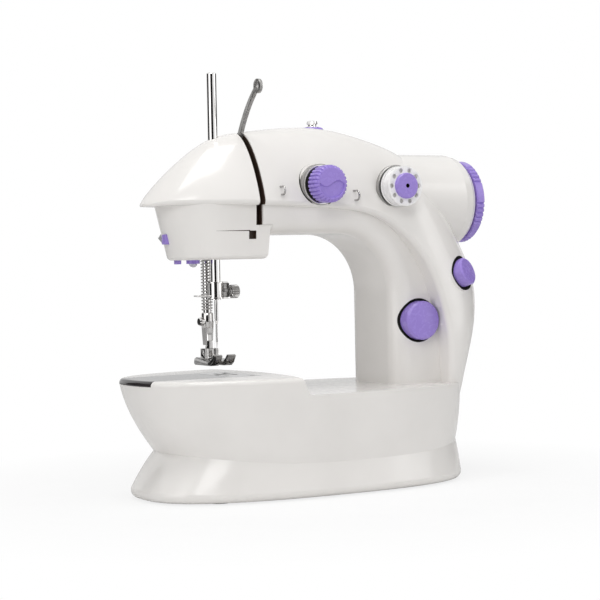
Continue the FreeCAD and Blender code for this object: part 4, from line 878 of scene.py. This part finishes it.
# %% Floor sheet
FLOOR_HALF = 4


def sheet(name, bm, finish):
    mesh = bpy.data.meshes.new(name)
    bm.to_mesh(mesh)
    bm.free()
    thing = bpy.data.objects.new(name, mesh)
    bpy.context.scene.collection.objects.link(thing)
    dress(thing, finish)
    return thing


paper, tree, shader = start_finish("white_paper")
tint(tree, shader, grain(tree, scale=40), dark=(0.86, 0.86, 0.86), light=(0.89, 0.89, 0.89))
shader.inputs["Roughness"].default_value = 0.9
bm = bmesh.new()
bmesh.ops.create_grid(bm, x_segments=1, y_segments=1, size=FLOOR_HALF)
floor = sheet("floor", bm, paper)
print("floor", [round(s, 2) for s in floor.dimensions])

# %% Glow of the floor
GLOW_NEAR, GLOW_FAR = 0.12, 0.24
GLOW_AT_FOOT = 0.80


def combined(tree, operation, first, second):
    maths = tree.nodes.new("ShaderNodeMath")
    maths.operation = operation
    tree.links.new(first, maths.inputs[0])
    tree.links.new(second, maths.inputs[1])
    return maths.outputs["Value"]


glow = tree.nodes.new("ShaderNodeEmission")
path = tree.nodes.new("ShaderNodeLightPath")
spot = tree.nodes.new("ShaderNodeTexCoord")
reach = tree.nodes.new("ShaderNodeVectorMath")
reach.operation = "LENGTH"
tree.links.new(spot.outputs["Object"], reach.inputs[0])
fade = spread_out(tree, reach.outputs["Value"], GLOW_NEAR, GLOW_FAR, GLOW_AT_FOOT, 1.0)
share = combined(tree, "MULTIPLY", fade, path.outputs["Is Camera Ray"])
blend = tree.nodes.new("ShaderNodeMixShader")
tree.links.new(share, blend.inputs["Fac"])
tree.links.new(shader.outputs["BSDF"], blend.inputs[1])
tree.links.new(glow.outputs["Emission"], blend.inputs[2])
tree.links.new(blend.outputs["Shader"], tree.nodes["Material Output"].inputs["Surface"])
print("floor nodes:", len(tree.nodes))

# %% [markdown]
# ## World
# The room is white to the camera, to gloss and through the lamp's dome. If it lit the machine
# just as strongly, every shade would wash out. A Light Path node tells these rays apart, so the
# world's soft light on the plastic is much weaker than its look.

# %% World
SOFT_LIGHT, SEEN_LIGHT = 0.32, 1.0

world = bpy.data.worlds.new("studio")
bpy.context.scene.world = world
world.use_nodes = True
tree = world.node_tree
tree.nodes.clear()
path = tree.nodes.new("ShaderNodeLightPath")
clear = combined(tree, "MAXIMUM", path.outputs["Is Glossy Ray"],
                 path.outputs["Is Transmission Ray"])
seen = combined(tree, "MAXIMUM", path.outputs["Is Camera Ray"], clear)
level = spread_out(tree, seen, 0, 1, SOFT_LIGHT, SEEN_LIGHT)
sky = tree.nodes.new("ShaderNodeBackground")
sky.inputs["Color"].default_value = (1, 1, 1, 1)
tree.links.new(level, sky.inputs["Strength"])
out = tree.nodes.new("ShaderNodeOutputWorld")
tree.links.new(sky.outputs["Background"], out.inputs["Surface"])
print("world nodes:", len(tree.nodes))

# %% [markdown]
# ## Lamps
# Large soft lamps shade the machine: one above, one high at the front left that draws the
# bright streak on the skirt, and a weak fill at each side. Point lamps would be quicker to
# place, but their hard shadows and small glints look nothing like a soft box.

# %% Lamps
AIM = Vector((0, 0, 0.1))


def soft_lamp(name, place, width, height, power):
    lamp = bpy.data.lights.new(name, "AREA")
    lamp.shape = "RECTANGLE"
    lamp.size = width
    lamp.size_y = height
    lamp.energy = power
    holder = bpy.data.objects.new(name, lamp)
    holder.location = place
    holder.rotation_euler = (AIM - Vector(place)).to_track_quat("-Z", "Y").to_euler()
    bpy.context.scene.collection.objects.link(holder)
    print(name, power, "W")


soft_lamp("top_box", (-0.10, -0.15, 1.15), width=0.55, height=0.55, power=5.2)
soft_lamp("front_left_box", (-0.75, -1.05, 0.95), width=0.6, height=0.8, power=5.7)
soft_lamp("right_fill", (0.95, -0.75, 0.45), width=0.5, height=0.9, power=2.4)
soft_lamp("left_fill", (-1.15, -0.35, 0.45), width=0.5, height=0.9, power=1.9)

# %% [markdown]
# ## Cards for the bright metal
# Bright metal shows what stands round it. In a white room a plated bar goes flat and grey,
# so a photographer puts dark and grey cards round it. These cards are seen by gloss alone:
# the camera, the shadows and the soft light on the plastic don't know them.

# %% Cards
def gloss_card(name, place, width, height, shade):
    paper, tree, shader = start_finish(name + "_paper")
    tint(tree, shader, grain(tree, scale=8), dark=(0, 0, 0), light=(0.01, 0.01, 0.01))
    shader.inputs["Roughness"].default_value = 1.0
    shader.inputs["Emission Color"].default_value = (shade, shade, shade, 1)
    shader.inputs["Emission Strength"].default_value = 1.0
    bm = bmesh.new()
    bmesh.ops.create_grid(bm, x_segments=1, y_segments=1, size=0.5)
    bmesh.ops.scale(bm, verts=bm.verts, vec=(width, height, 1))
    turn = (AIM - Vector(place)).to_track_quat("-Z", "Y").to_matrix()
    bmesh.ops.rotate(bm, verts=bm.verts, cent=(0, 0, 0), matrix=turn)
    bmesh.ops.translate(bm, verts=bm.verts, vec=place)
    card = sheet(name, bm, paper)
    card.visible_camera = False
    card.visible_diffuse = False
    card.visible_shadow = False
    card.visible_transmission = False
    print(name, "shade", shade)


gloss_card("card_front", (-0.72, -1.22, 0.15), width=1.25, height=1.4, shade=0.005)
gloss_card("card_left", (-1.08, 0.90, 0.15), width=1.45, height=1.4, shade=0.02)
gloss_card("card_right", (1.38, -0.24, 0.15), width=1.55, height=1.4, shade=0.02)
gloss_card("card_back", (0.75, 1.35, 0.25), width=1.80, height=1.6, shade=0.75)

# %% [markdown]
# ## Camera
# The camera has a long lens and stands at the front left, level with the throat, as in the
# photograph. Tilting it down would make the upright parts lean, so it stays level and the lens
# is shifted down instead. The picture leans a little, so the camera has a small roll.

# %% Camera
STAND = (-0.4615, -0.7958, 0.118)
TURN, ROLL = math.radians(-30), math.radians(-1.2)
LENS, SENSOR, SHIFT = 107.4, 36, -0.0717

camera = bpy.data.cameras.new("camera")
camera.lens = LENS
camera.sensor_width = SENSOR
camera.shift_y = SHIFT
stand = bpy.data.objects.new("camera", camera)
level_view = Matrix.Rotation(TURN, 4, "Z") @ Matrix.Rotation(math.pi / 2, 4, "X")
stand.matrix_world = Matrix.Translation(STAND) @ level_view @ Matrix.Rotation(ROLL, 4, "Z")
bpy.context.scene.collection.objects.link(stand)
bpy.context.scene.camera = stand
bpy.context.scene.view_settings.view_transform = "Standard"
print("camera", LENS, "mm")
